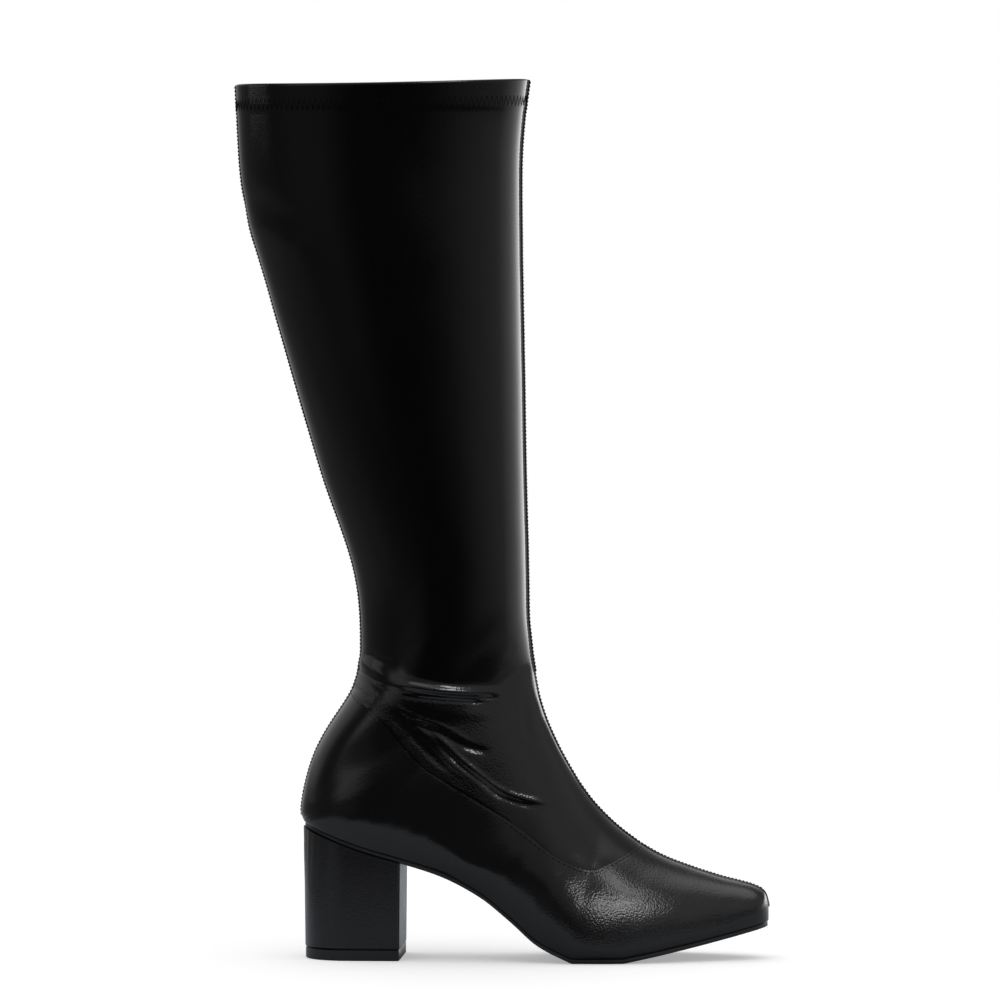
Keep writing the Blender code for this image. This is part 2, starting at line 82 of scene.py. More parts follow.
# Sections of the last in percent: x of the foot's length, z of the boot's height, widths of the ball's.
Section = namedtuple(
    "Section", "name station front_x front_z back_x back_z outer inner ridge widest crown under")
ON_SOLE = 0.0
SECTIONS = [Section(*row) for row in (
    ("toe tip", 0, 100.0, 6.0, 100.0, ON_SOLE, 8.8, 23.8, 7.5, 0.60, 2.40, 2.0),
    ("toe corner", 3, 99.4, 7.2, 99.4, ON_SOLE, 10.0, 24.8, 7.5, 0.60, 2.40, 2.0),
    ("toe top", 7, 98.2, 7.9, 98.2, ON_SOLE, 11.8, 26.0, 7.5, 0.64, 2.38, 2.0),
    ("toe box", 21, 92.4, 8.9, 92.4, ON_SOLE, 18.8, 34.4, 7.3, 0.78, 2.30, 2.0),
    ("tread", 42, 84.4, 10.15, 83.6, ON_SOLE, 30.6, 43.8, 6.2, 0.87, 2.15, 2.3),
    ("ball", 70, 75.2, 12.2, 72.0, ON_SOLE, 45.0, 51.2, 4.4, 0.90, 2.00, 2.5),
    ("throat", 102, 66.0, 15.8, 60.0, ON_SOLE, 50.6, 46.2, 2.5, 0.86, 1.90, 3.0),
    ("instep", 137, 59.9, 19.6, 47.2, ON_SOLE, 45.6, 38.8, 1.2, 0.68, 1.79, 2.8),
    ("waist", 170, 56.1, 23.0, 35.2, ON_SOLE, 41.9, 37.5, 0.3, 0.82, 2.25, 2.6),
    ("bend", 204, 53.1, 26.3, 23.2, ON_SOLE, 40.9, 39.1, 0.0, 0.75, 2.30, 2.7),
    ("breast", 232, 51.4, 28.8, 12.0, ON_SOLE, 40.6, 39.8, 0.0, 0.74, 2.40, 2.8),
    ("seat", 252, 50.4, 30.9, 4.0, ON_SOLE, 39.9, 39.4, 0.0, 0.70, 2.30, 2.8),
    ("heel back", 264, 49.9, 32.4, 0.5, ON_SOLE, 39.2, 39.2, 0.0, 0.60, 2.10, 2.8),
    ("counter", 276, 49.5, 33.7, 0.0, 17.5, 38.6, 38.6, 0.0, 0.52, 1.90, 2.7),
    ("counter top", 304, 48.9, 36.7, 3.2, 23.7, 39.0, 39.0, 0.0, 0.50, 1.95, 2.35),
    ("tendon", 326, 48.6, 39.0, 7.8, 27.9, 38.5, 38.5, 0.0, 0.50, 2.00, 2.1),
    ("nape", 346, 48.5, 41.6, 11.6, 31.6, 38.4, 38.4, 0.0, 0.50, 2.00, 1.95),
    ("ankle", 371, 48.4, 45.0, 12.7, 37.3, 38.9, 38.9, 0.0, 0.50, 2.00, 1.9),
    ("low shin", 402, 48.2, 49.5, 11.2, 44.3, 40.3, 40.3, 0.0, 0.50, 2.00, 1.9),
    ("shin", 440, 47.9, 55.7, 5.5, 53.3, 42.4, 42.4, 0.0, 0.50, 2.00, 1.95),
    ("low calf", 492, 47.6, 65.7, -1.6, 65.7, 45.6, 45.6, 0.0, 0.50, 2.00, 2.0),
    ("calf", 546, 47.2, 77.2, -7.7, 77.2, 47.5, 47.5, 0.0, 0.50, 2.00, 2.0),
    ("high calf", 588, 47.0, 86.1, -12.2, 85.9, 48.1, 48.1, 0.0, 0.50, 2.00, 2.0),
    ("below hem", 623, 47.3, 93.4, -13.6, 93.2, 48.1, 48.1, 0.0, 0.50, 2.00, 2.0),
    ("collar", 654, 48.7, 99.9, -14.1, 99.4, 49.4, 49.4, 0.0, 0.50, 2.00, 2.0),
)]
STATION_OF = {row.name: row.station for row in SECTIONS}

# Side view of the sole's edge, in percent of foot length and of heel height or toe spring.
SideRow = namedtuple("SideRow", "name along rise")
SOLE_BEHIND_BALL = [SideRow(*row) for row in (
    ("heel back", 0.5, 100.0),
    ("heel seat", 7.2, 90.4),
    ("seat front", 15.2, 80.4),
    ("breast", 21.2, 74.4),
    ("shank", 30.4, 64.0),
    ("waist", 38.8, 48.4),
    ("arch", 45.2, 30.8),
    ("arch foot", 51.2, 12.6),
    ("ball rear", 58.4, 0.0),
)]
SOLE_BEFORE_BALL = [SideRow(*row) for row in (
    ("ball front", 69.6, 0.0),
    ("tread rise", 78.8, 26.0),
    ("toe", 92.4, 71.0),
    ("toe tip", 100.0, 100.0),
)]

# Plan of the sole's edge from the middle line, in percent of foot length and of ball width.
OutlineRow = namedtuple("OutlineRow", "name along outer inner")
OUTLINE = [OutlineRow(*row) for row in (
    ("heel back", 0.0, 33.8, 33.8),
    ("heel seat", 12.0, 33.8, 33.2),
    ("breast", 23.2, 34.0, 31.0),
    ("waist", 37.6, 34.4, 24.6),
    ("arch", 47.2, 39.4, 26.8),
    ("outer ball", 60.0, 46.2, 40.0),
    ("ball", 66.0, 45.6, 46.0),
    ("inner ball", 72.0, 41.2, 48.2),
    ("tread", 83.6, 26.9, 40.5),
    ("toe box", 92.4, 16.0, 31.5),
    ("toe top", 98.2, 9.4, 24.0),
    ("toe tip", 100.0, 7.5, 22.5),
)]

# Side view of the seam between foot part and leg, in percent of foot length and boot height.
VAMP_SEAM = [SideRow(*row) for row in (
    ("behind", 0.0, 35.6),
    ("back of ankle", 10.8, 30.5),
    ("counter", 17.6, 27.3),
    ("side", 26.4, 22.2),
    ("waist", 36.8, 18.7),
    ("instep", 48.0, 15.0),
    ("drop", 55.6, 11.9),
    ("point", 62.8, 10.5),
    ("rise", 67.2, 11.4),
    ("front ridge", 72.4, 13.0),
)]


def natural_spline(places, values):
    """Smooth curve through all values, for arrays of places."""
    places = np.array(places, float)
    values = np.array(values, float)
    count = len(places)
    gaps = np.diff(places)
    slopes = np.diff(values) / gaps
    system = np.eye(count)
    right = np.zeros(count)
    for k in range(1, count - 1):
        system[k, k - 1:k + 2] = gaps[k - 1], 2 * (gaps[k - 1] + gaps[k]), gaps[k]
        right[k] = 6 * (slopes[k] - slopes[k - 1])
    bends = np.linalg.solve(system, right)

    def value(place):
        k = np.clip(np.searchsorted(places, place) - 1, 0, count - 2)
        ahead = (place - places[k]) / gaps[k]
        behind = 1 - ahead
        curve = (behind ** 3 - behind) * bends[k] + (ahead ** 3 - ahead) * bends[k + 1]
        return behind * values[k] + ahead * values[k + 1] + curve * gaps[k] ** 2 / 6

    return value


def steady_curve(places, values):
    """Curve that never swings past its values, straight on beyond both ends, for arrays of places."""
    places = np.array(places, float)
    values = np.array(values, float)
    gaps = np.diff(places)
    slopes = np.diff(values) / gaps
    tangents = np.concatenate(([slopes[0]], np.zeros(len(slopes) - 1), [slopes[-1]]))
    for k in range(1, len(slopes)):
        before, after = slopes[k - 1], slopes[k]
        if before * after > 0:
            first = 2 * gaps[k] + gaps[k - 1]
            second = gaps[k] + 2 * gaps[k - 1]
            tangents[k] = (first + second) / (first / before + second / after)

    def value(place):
        inside = np.clip(place, places[0], places[-1])
        k = np.clip(np.searchsorted(places, inside) - 1, 0, len(gaps) - 1)
        s = (inside - places[k]) / gaps[k]
        start = values[k] * (1 + 2 * s) * (1 - s) ** 2 + tangents[k] * gaps[k] * s * (1 - s) ** 2
        end = values[k + 1] * s * s * (3 - 2 * s) + tangents[k + 1] * gaps[k] * s * s * (s - 1)
        beyond = np.where(place < places[0], tangents[0], tangents[-1]) * (place - inside)
        return start + end + beyond

    return value


def table_curve(rows, column, column_size):
    """Curve of one column of a side or plan table over the foot's length."""
    return steady_curve([row.along * FOOT_LENGTH * PERCENT for row in rows],
                        [getattr(row, column) * column_size * PERCENT for row in rows])


def section_curve(column, size):
    """Curve of one column of the sections over the stations of the last."""
    return natural_spline([row.station for row in SECTIONS],
                          [getattr(row, column) * size for row in SECTIONS])


FRONT_X = section_curve("front_x", FOOT_LENGTH * PERCENT)
FRONT_Z = section_curve("front_z", BOOT_HEIGHT * PERCENT)
BACK_X = section_curve("back_x", FOOT_LENGTH * PERCENT)
OUTER = section_curve("outer", BALL_WIDTH * PERCENT)
INNER = section_curve("inner", BALL_WIDTH * PERCENT)
RIDGE = section_curve("ridge", BALL_WIDTH * PERCENT)
WIDEST = section_curve("widest", 1.0)
CROWN = section_curve("crown", 1.0)
UNDER = section_curve("under", 1.0)
LEG_ROWS = [row for row in SECTIONS if row.station >= STATION_OF["heel back"]]
LEG_BACK_Z = natural_spline(
    [row.station for row in LEG_ROWS],
    [HEEL_HEIGHT if row.back_z == ON_SOLE else row.back_z * BOOT_HEIGHT * PERCENT for row in LEG_ROWS])
RISE_BEHIND = table_curve(SOLE_BEHIND_BALL, "rise", HEEL_HEIGHT - SOLE_THICKNESS)
RISE_BEFORE = table_curve(SOLE_BEFORE_BALL, "rise", TOE_SPRING)
EDGE_OUTER = table_curve(OUTLINE, "outer", BALL_WIDTH)
EDGE_INNER = table_curve(OUTLINE, "inner", BALL_WIDTH)
SEAM_RISE = table_curve(VAMP_SEAM, "rise", BOOT_HEIGHT)
BALL_REAR = SOLE_BEHIND_BALL[-1].along * FOOT_LENGTH * PERCENT
BALL_FRONT = SOLE_BEFORE_BALL[0].along * FOOT_LENGTH * PERCENT


def soft_step(value):
    """0 below 0, 1 above 1 and a smooth rise between."""
    inside = np.clip(value, 0.0, 1.0)
    return inside * inside * (3 - 2 * inside)


def sole_line(x):
    """Height of the skin's lower edge above the floor."""
    rise = np.where(x < BALL_REAR, RISE_BEHIND(x), np.where(x > BALL_FRONT, RISE_BEFORE(x), 0.0))
    return SOLE_THICKNESS + rise


def rounded_end(depth, reach, squareness):
    """Share of the full width at a depth behind a rounded end."""
    left = 1 - np.clip(depth / reach, 0.0, 1.0)
    return (1 - left ** squareness) ** (1 / squareness)


def toe_share(x):
    """Share of the full width that the rounding of the toe leaves."""
    return rounded_end(FOOT_LENGTH - x, TOE_ROUND, TOE_SQUARENESS)


def outline(x, side, inset=0.0):
    """Edge of the sole in plan; side is -1 for the outer and 1 for the inner edge."""
    start = HEEL_START + inset
    stretch = (FOOT_LENGTH - 2 * inset - HEEL_START) / (FOOT_LENGTH - HEEL_START)
    full_x = HEEL_START + (x - start) / stretch
    middle = (EDGE_INNER(full_x) - EDGE_OUTER(full_x)) / 2
    half = (EDGE_INNER(full_x) + EDGE_OUTER(full_x)) / 2 - inset
    heel = rounded_end(full_x - HEEL_START, HEEL_ROUND, HEEL_SQUARENESS)
    return middle + side * half * heel * toe_share(full_x)


def section_points(station, girth):
    """Points of the bare sections: girth 0 is the front ridge, -1 and 1 the sole's edge or the back seam."""
    side = np.where(girth < 0, -1.0, 1.0)
    on_sole = station < STATION_OF["heel back"] - SAME_STATION
    front_x = FRONT_X(station)
    front_z = FRONT_Z(station)
    back_x = np.where(on_sole, np.maximum(BACK_X(station), HEEL_START), BACK_X(station))
    back_z = np.where(on_sole, sole_line(back_x), LEG_BACK_Z(station))
    narrowing = np.where(on_sole, toe_share(back_x), 1.0)
    middle = (INNER(station) - OUTER(station)) / 2
    half = (INNER(station) + OUTER(station)) / 2
    broad = middle + side * half * narrowing
    edge = np.where(on_sole, outline(back_x, side), 0.0)
    turn = np.abs(girth) * math.pi
    widest = WIDEST(station)
    ridge = RIDGE(station)
    power = 2 / CROWN(station)
    top_share = widest * (1 - np.maximum(np.cos(turn), 0.0) ** power)
    top_y = ridge + (broad - ridge) * np.maximum(np.sin(turn), 0.0) ** power
    under = UNDER(station)
    full = np.maximum(half * narrowing, NO_WIDTH)
    openness = np.where(narrowing > 0, np.minimum(np.abs(edge - middle) / full / OPEN_UNDER, 1.0), 1.0)
    closing = 1 + (under - 1) * (1 - openness) ** UNDER_CLOSING
    even_way = 2 * np.abs(girth) - 1
    round_way = np.maximum(-np.cos(turn), 0.0) ** (2 / under)
    heel_end = STATION_OF["heel back"]
    evenness = soft_step((heel_end - station) / (heel_end - STATION_OF["waist"]))
    way = np.clip(round_way + (even_way - round_way) * evenness, 0.0, 1.0)
    low_share = widest + (1 - widest) * way
    low_y = edge + (broad - edge) * np.maximum(1 - way ** under, 0.0) ** (1 / closing)
    on_top = np.abs(girth) <= WIDEST_GIRTH
    share = np.where(on_top, top_share, low_share)
    y = np.where(on_top, top_y, low_y)
    hang = np.clip((station - STATION_OF["calf"]) / (STATION_OF["collar"] - STATION_OF["calf"]), 0, 1)
    x = front_x + (back_x - front_x) * share
    z = front_z + (back_z - front_z) * share - COLLAR_DIP * hang ** 2 * (y / half) ** 2
    return np.stack([x - MIDDLE_X, y, z], axis=-1)


def last_points(station, girth):
    """Points of the last, eased where the sections change from the sole's edge to the back seam."""
    from_heel = np.abs(station - STATION_OF["heel back"])
    reach = EASE_REACH * soft_step((EASE_ZONE - from_heel) / EASE_ZONE)
    reach = reach * soft_step((EASE_GIRTH - np.abs(girth)) / (1 - EASE_GIRTH))
    middle = section_points(station, girth)
    return middle / 2 + (section_points(station - reach, girth) + section_points(station + reach, girth)) / 4


def last_normals(station, girth):
    """Outward directions of the last."""
    step = np.minimum(STATION_STEP, station)
    along = (last_points(np.minimum(station + step, STATION_OF["collar"]), girth)
             - last_points(station - step, girth))
    across = (last_points(station, np.minimum(girth + GIRTH_STEP, 1.0))
              - last_points(station, np.maximum(girth - GIRTH_STEP, -1.0)))
    normal = np.cross(across, along)
    on_back = (np.abs(girth) == 1.0) & (station >= STATION_OF["heel back"] - SAME_STATION)
    normal[..., 1] = np.where(on_back, 0.0, normal[..., 1])
    tip = station == STATION_OF["toe tip"]
    normal = np.where(tip[..., None], np.array([1.0, 0.0, 0.0]), normal)
    return normal / np.maximum(np.linalg.norm(normal, axis=-1, keepdims=True), NO_LENGTH)


def over_seam(points):
    """Distance of points above the seam between foot part and leg, square to the seam line."""
    x = points[..., 0] + MIDDLE_X
    slope = (SEAM_RISE(x + SEAM_STEP) - SEAM_RISE(x - SEAM_STEP)) / (2 * SEAM_STEP)
    return (points[..., 2] - SEAM_RISE(x)) / np.hypot(1.0, slope)


# Folds seen from the side, in millimetres from the back of the heel and the floor: a rise below 0 is
# a trough, spread is the half width across, and a fold fades over the share fade of its length.
Fold = namedtuple("Fold", "name rise spread fade path")
FOLDS = [Fold(*row) for row in (
    ("crease over the instep", -0.60, 0.85, 0.12,
     ((14, 168), (22, 160.5), (31, 154.5), (40, 149.6), (52, 145.8), (65, 143.3), (81, 141.6), (97, 140.5),
      (110, 140.2))),
    ("second crease", -0.45, 0.85, 0.15,
     ((33, 152), (44, 145.4), (55, 142.0), (71, 139.8), (87, 138.4), (103, 137.6))),
    ("bulge above the crease", 1.9, 2.4, 0.30,
     ((48, 149.8), (62, 146.4), (79, 144.0), (95, 143.0), (110, 143.6))),
    ("roll below the crease", 0.30, 3.6, 0.30,
     ((60, 136), (75, 133.5), (92, 132), (108, 132))),
    ("upper fan fold", 0.30, 1.0, 0.18,
     ((43, 143.6), (54.8, 134.6), (62, 130.9), (76, 126.1), (87, 120.3), (96, 115.5))),
    ("trough under the upper fan fold", -0.35, 1.4, 0.22,
     ((50, 134), (62, 126.5), (76, 121.5), (86, 116), (96, 112.5), (104, 111))),
    ("pinch", -0.45, 1.9, 0.35, ((87, 116), (95, 113.4), (104, 111.4))),
    ("middle fan fold", 0.25, 0.9, 0.20,
     ((55.9, 132), (65, 124.5), (73, 117.1), (80, 109.2), (88, 101.7), (94, 98))),
    ("main diagonal fold", 0.55, 1.2, 0.14,
     ((70, 124), (80.3, 115), (88, 107.6), (95, 101.9), (103.6, 95), (112, 90.3), (120, 87.6), (130, 85.3),
      (141, 83))),
    ("trough under the main fold", -0.5, 1.0, 0.16,
     ((73, 117.5), (80, 110.5), (88, 103.4), (96, 97.7), (104, 91.4), (112, 86.6), (121, 83.8), (131, 82))),
    ("low fan fold", 0.2, 0.9, 0.25, ((74, 109.8), (82, 102.5), (90, 97.6))),
    ("tail of the fan", -0.4, 1.4, 0.30, ((96, 99), (103.6, 91.9), (110, 85.5))),
    ("fold beside the seam", -0.3, 1.5, 0.20, ((40, 138), (53, 127.5), (64, 116.5), (75, 106.5), (83, 100))),
    ("ridge beside the seam", 0.25, 1.4, 0.20, ((44, 133), (55, 123), (65, 112), (75, 103), (86, 96.5))),
    ("hollow above the crease", -0.8, 9.0, 0.30, ((40, 158), (52, 153), (66, 150), (84, 148))),
    ("first nape fold", -0.5, 2.4, 0.25, ((28, 166), (36, 163.5), (44, 160), (54, 156.5))),
    ("second nape fold", 0.5, 2.4, 0.25, ((28, 160.5), (36, 157), (45, 152.8), (55, 149.3))),
    ("third nape fold", -0.5, 1.7, 0.30, ((26, 146.5), (33, 142.5), (41, 138.5))),
    ("bend at the front", -0.6, 2.6, 0.30, ((119.5, 143), (120.5, 134), (121.5, 125), (126, 113))),
    ("dent in the calf", -1.0, 4.2, 0.25, ((-34, 410), (-22, 402.5), (-8, 395.5), (6, 392.5))),
    ("roll in the calf", 0.7, 6.0, 0.30, ((-32, 396), (-16, 388), (0, 381), (12, 379))),
    ("pull on the calf", 0.5, 6.5, 0.30, ((-20, 372), (-4, 336), (12, 298), (26, 266))),
    ("hollow behind the pull", -0.5, 6.0, 0.30, ((-27, 352), (-12, 318), (4, 282), (20, 250))),
    ("long shin pull", 0.35, 8.0, 0.35, ((66, 330), (70, 270), (78, 205))),
)]

# A fold's line is drawn in short steps, in millimetres, and its sides end at some spreads from it.
FOLD_SPACING = 2.0
FOLD_LEAST_STEPS = 4
FOLD_SIDES = 3.5

# How the inner side of the leg differs: its folds lie a little lower and shallower.
INNER_FOLD_SHIFT = np.array([2.0, -3.0])
INNER_FOLD_SHARE = 0.85
SIDE_BLEND = 0.006


def fold_height(x, z, fold):
    """Height that one fold gives to points seen from the side; x and z in millimetres of the foot."""
    path = np.array(fold.path, float)
    reach = np.concatenate(([0.0], np.cumsum(np.linalg.norm(np.diff(path, axis=0), axis=1))))
    count = max(int(reach[-1] / FOLD_SPACING), FOLD_LEAST_STEPS)
    places = np.linspace(0, reach[-1], count + 1)
    line = np.stack([natural_spline(reach, path[:, k])(places) for k in (0, 1)], axis=-1)
    margin = FOLD_SIDES * fold.spread
    near = ((x > line[:, 0].min() - margin) & (x < line[:, 0].max() + margin)
            & (z > line[:, 1].min() - margin) & (z < line[:, 1].max() + margin))
    height = np.zeros_like(x)
    points = np.stack([x[near], z[near]], axis=-1)
    best = np.full(len(points), np.inf)
    along = np.zeros(len(points))
    for k in range(count):
        way = line[k + 1] - line[k]
        share = np.clip(((points - line[k]) @ way) / (way @ way), 0.0, 1.0)
        distance = np.linalg.norm(points - line[k] - share[:, None] * way, axis=1)
        closer = distance < best
        best = np.where(closer, distance, best)
        along = np.where(closer, (k + share) / count, along)
    fading = soft_step(along / fold.fade) * soft_step((1 - along) / fold.fade)
    height[near] = fold.rise * MM * fading * np.exp(-(best / fold.spread) ** 2)
    return height


# Slow waves of the skin: height in millimetres, turn in radians a metre along each axis. They are
# flatter on the leg, where the skin is stretched, than on the foot.
Wave = namedtuple("Wave", "height x y z phase")
SLOW_WAVES = [Wave(*row) for row in (
    (0.10, 190, 60, 140, 0.3),
    (0.08, -120, 210, 230, 1.7),
    (0.06, 310, -90, -260, 4.1),
    (0.05, 240, 330, 120, 2.6),
    (0.035, -420, 260, 380, 5.2),
    (0.03, 510, 120, -450, 0.9),
)]
SMOOTH_ABOVE = 0.150
SMOOTH_FADE = 0.040
SMOOTH_SHARE = 0.12
FOOT_SHARE = 0.35


def unevenness(points):
    """Height that the slow waves give to points, in metres."""
    height = np.zeros(points.shape[:-1])
    for wave in SLOW_WAVES:
        turn = points @ np.array([wave.x, wave.y, wave.z]) + wave.phase
        height += wave.height * MM * np.sin(turn)
    stretched = soft_step((points[..., 2] - SMOOTH_ABOVE) / SMOOTH_FADE)
    return height * (FOOT_SHARE + (SMOOTH_SHARE - FOOT_SHARE) * stretched)


def skin_relief(points):
    """Folds and unevenness of the skin above the bare last, in metres."""
    x = (points[..., 0] + MIDDLE_X) / MM
    z = points[..., 2] / MM
    inner = soft_step((points[..., 1] + SIDE_BLEND) / (2 * SIDE_BLEND))
    height = unevenness(points)
    for fold in FOLDS:
        outside = fold_height(x, z, fold)
        inside = fold_height(x + INNER_FOLD_SHIFT[0], z - INNER_FOLD_SHIFT[1], fold) * INNER_FOLD_SHARE
        height += outside * (1 - inner) + inside * inner
    return height


# Closed seams along the ridge and the back, and the edges of the skin at the seam to the foot part
SEAM_RIDGE = 0.0006
SEAM_HALF = 0.0008
SEAM_GROOVE = 0.00025
SEAM_GROOVE_AT = 0.0017
SEAM_START = 4.0
SEAM_GAP = 0.00012
SEAM_EDGE_DROP = 0.00011
SEAM_EDGE_REACH = 0.0006
SEAM_EDGE_POWER = 1.5

# Turned hem, and the tape behind the front seam that keeps the leg's front flat
HEM_HEIGHT = 0.0150
HEM_STEP = 0.0002
HEM_SLOPE = 0.0040
TAPE_WIDTH = 0.0100
TAPE_SLOPE = 0.05
TAPE_START = 60.0


def raised_seam(distance):
    """Cross section of a closed seam: a low ridge between two shallow grooves."""
    ridge = SEAM_RIDGE * np.exp(-(distance / SEAM_HALF) ** 2)
    groove = SEAM_GROOVE * np.exp(-((distance - SEAM_GROOVE_AT) / SEAM_HALF) ** 2)
    return ridge - groove


def long_seams(station, girth, points):
    """Raised seams along the front ridge and, above the heel, along the back."""
    front = last_points(station, np.zeros_like(girth))
    back = last_points(station, np.sign(girth) * np.ones_like(girth))
    height = raised_seam(np.linalg.norm(points - front, axis=-1))
    above_heel = soft_step((station - STATION_OF["heel back"]) / SEAM_START)
    return height + above_heel * raised_seam(np.linalg.norm(points - back, axis=-1))


def seam_edge(points):
    """Rounding of the skin's edge along the seam between foot part and leg."""
    return -SEAM_EDGE_DROP * np.exp(-(np.abs(over_seam(points)) / SEAM_EDGE_REACH) ** SEAM_EDGE_POWER)


def skin_height(station, girth):
    """Height of the skin's outer face above the last."""
    points = last_points(station, girth)
    hem = soft_step((points[..., 2] - (BOOT_HEIGHT - HEM_HEIGHT) + HEM_SLOPE) / HEM_SLOPE)
    behind_ridge = FRONT_X(station) - (points[..., 0] + MIDDLE_X)
    on_leg = soft_step((station - STATION_OF["heel back"]) / TAPE_START)
    tape = -TAPE_SLOPE * on_leg * np.maximum(TAPE_WIDTH - behind_ridge, 0.0)
    return (skin_relief(points) + long_seams(station, girth, points) + seam_edge(points)
            + HEM_STEP * hem + tape)


def cut_sheet(points, uv, field):
    """Corners, map and faces of the part of a grid where field is above 0, cut along its zero line."""
    rows, columns = field.shape
    corners = [tuple(point) for point in points.reshape(-1, 3).tolist()]
    places = uv.reshape(-1, 2).tolist()
    level = field.ravel()
    crossings = {}

    def crossing(a, b):
        key = (min(a, b), max(a, b))
        if key not in crossings:
            share = level[a] / (level[a] - level[b])
            corners.append(tuple(np.array(corners[a]) * (1 - share) + np.array(corners[b]) * share))
            places.append([places[a][k] * (1 - share) + places[b][k] * share for k in (0, 1)])
            crossings[key] = len(corners) - 1
        return crossings[key]

    number = np.arange(rows * columns).reshape(rows, columns)
    quads = np.stack([number[:-1, :-1], number[:-1, 1:], number[1:, 1:], number[1:, :-1]], axis=-1)
    quads = quads.reshape(-1, 4)
    above = (level[quads] > 0).sum(axis=1)
    faces = quads[above == 4].tolist()
    for quad in quads[(above > 0) & (above < 4)].tolist():
        face = []
        for k, corner in enumerate(quad):
            following = quad[(k + 1) % 4]
            if level[corner] > 0:
                face.append(corner)
            if (level[corner] > 0) != (level[following] > 0):
                face.append(crossing(corner, following))
        faces.append(face)
    return corners, places, faces


def sheet_mesh(name, sheet):
    """Mesh of one cut sheet with its map."""
    corners, places, faces = sheet
    mesh = bpy.data.meshes.new(name)
    mesh.from_pydata(corners, [], faces)
    layer = mesh.uv_layers.new(name="skin")
    corner = np.zeros(len(mesh.loops), np.int32)
    mesh.loops.foreach_get("vertex_index", corner)
    layer.data.foreach_set("uv", np.array(places, np.float32)[corner].ravel())
    return mesh


def open_edges(work):
    """Loops of edges that bound a single face, each with the middle of its box, in a settled order."""
    left = dict.fromkeys(edge for edge in work.edges if len(edge.link_faces) == 1)
    loops = []
    while left:
        loop = [left.popitem()[0]]
        for edge in loop:
            for corner in edge.verts:
                for following in corner.link_edges:
                    if following in left:
                        del left[following]
                        loop.append(following)
        places = np.array([corner.co for edge in loop for corner in edge.verts])
        loops.append((loop, (places.min(axis=0) + places.max(axis=0)) / 2))
    return loops


# Points closer than this are joined, shorter edges are dropped, and sharper bends stay crisp.
JOIN_REACH = 2e-6
SHORTEST_EDGE = 1e-7
CRISP_BEND = math.radians(40)


def walled_piece(name, outer, inner, materials):
    """Mesh object of a skin with its wall: outer sheet, inner sheet and the edges that join them."""
    work = bmesh.new()
    for index, sheet in enumerate((outer, inner)):
        mesh = sheet_mesh(name + " sheet", sheet)
        known = set(work.faces)
        work.from_mesh(mesh)
        bpy.data.meshes.remove(mesh)
        added = [face for face in work.faces if face not in known]
        corners = list(dict.fromkeys(corner for face in added for corner in face.verts))
        bmesh.ops.remove_doubles(work, verts=corners, dist=JOIN_REACH)
        for face in work.faces:
            if face not in known:
                face.material_index = index
    bmesh.ops.delete(work, geom=[v for v in work.verts if not v.link_faces], context="VERTS")
    loops = open_edges(work)
    while loops:
        loop, middle = loops.pop()
        partner = min(range(len(loops)), key=lambda k: np.linalg.norm(loops[k][1] - middle))
        bmesh.ops.bridge_loops(work, edges=loop + loops.pop(partner)[0])
    mesh = bpy.data.meshes.new(name)
    for material in materials:
        mesh.materials.append(material)
    work.to_mesh(mesh)
    work.free()
    finish_mesh(mesh)
    piece = bpy.data.objects.new(name, mesh)
    bpy.context.scene.collection.objects.link(piece)
    return piece


def finish_mesh(mesh):
    """Joins points that meet, drops loose ones, turns the faces outwards and shades the mesh smooth."""
    work = bmesh.new()
    work.from_mesh(mesh)
    bmesh.ops.remove_doubles(work, verts=work.verts, dist=JOIN_REACH)
    bmesh.ops.dissolve_degenerate(work, edges=work.edges, dist=SHORTEST_EDGE)
    bmesh.ops.delete(work, geom=[v for v in work.verts if not v.link_faces], context="VERTS")
    bmesh.ops.recalc_face_normals(work, faces=work.faces)
    work.to_mesh(mesh)
    work.free()
    mesh.shade_smooth()
    mesh.set_sharp_from_angle(angle=CRISP_BEND)


def shader_node(tree, kind, settings=(), inputs=()):
    """New node with its settings and the fixed values of its inputs."""
    node = tree.nodes.new(kind)
    for name, value in dict(settings).items():
        setattr(node, name, value)
    for name, value in dict(inputs).items():
        node.inputs[name].default_value = value
    return node


def weighted_sum(tree, parts):
    """Socket with the sum of several sockets, each times its weight."""
    total = None
    for socket, weight in parts:
        scaled = shader_node(tree, "ShaderNodeMath", {"operation": "MULTIPLY"})
        tree.links.new(socket, scaled.inputs[0])
        scaled.inputs[1].default_value = weight
        if total is None:
            total = scaled.outputs[0]
            continue
        added = shader_node(tree, "ShaderNodeMath", {"operation": "ADD"})
        tree.links.new(total, added.inputs[0])
        tree.links.new(scaled.outputs[0], added.inputs[1])
        total = added.outputs[0]
    return total


# The skin is crinkled in a band over the seam to the foot part, and less in the fan of folds.
CRINKLE_BAND = 0.017
CRINKLE_SOFT = 0.003
CRINKLE_END = 0.108
CRINKLE_FADE = 0.030
CRINKLE_DEPTH = 7.0
CRINKLE_DULLNESS = 0.12
FAN_TOP = 0.141
FAN_END = 0.135
FAN_SHARE = 0.35


def crinkled_leg(points):
    """How crinkled the skin of the leg is at points, from 0 to 1."""
    x = points[..., 0] + MIDDLE_X
    over = over_seam(points)
    start = soft_step(over / CRINKLE_SOFT)
    band = soft_step((CRINKLE_BAND - over) / CRINKLE_BAND) * soft_step((CRINKLE_END - x) / CRINKLE_FADE)
    fan = soft_step((FAN_TOP - points[..., 2]) / CRINKLE_SOFT) * soft_step((FAN_END - x) / CRINKLE_FADE)
    return start * np.maximum(band, FAN_SHARE * fan)


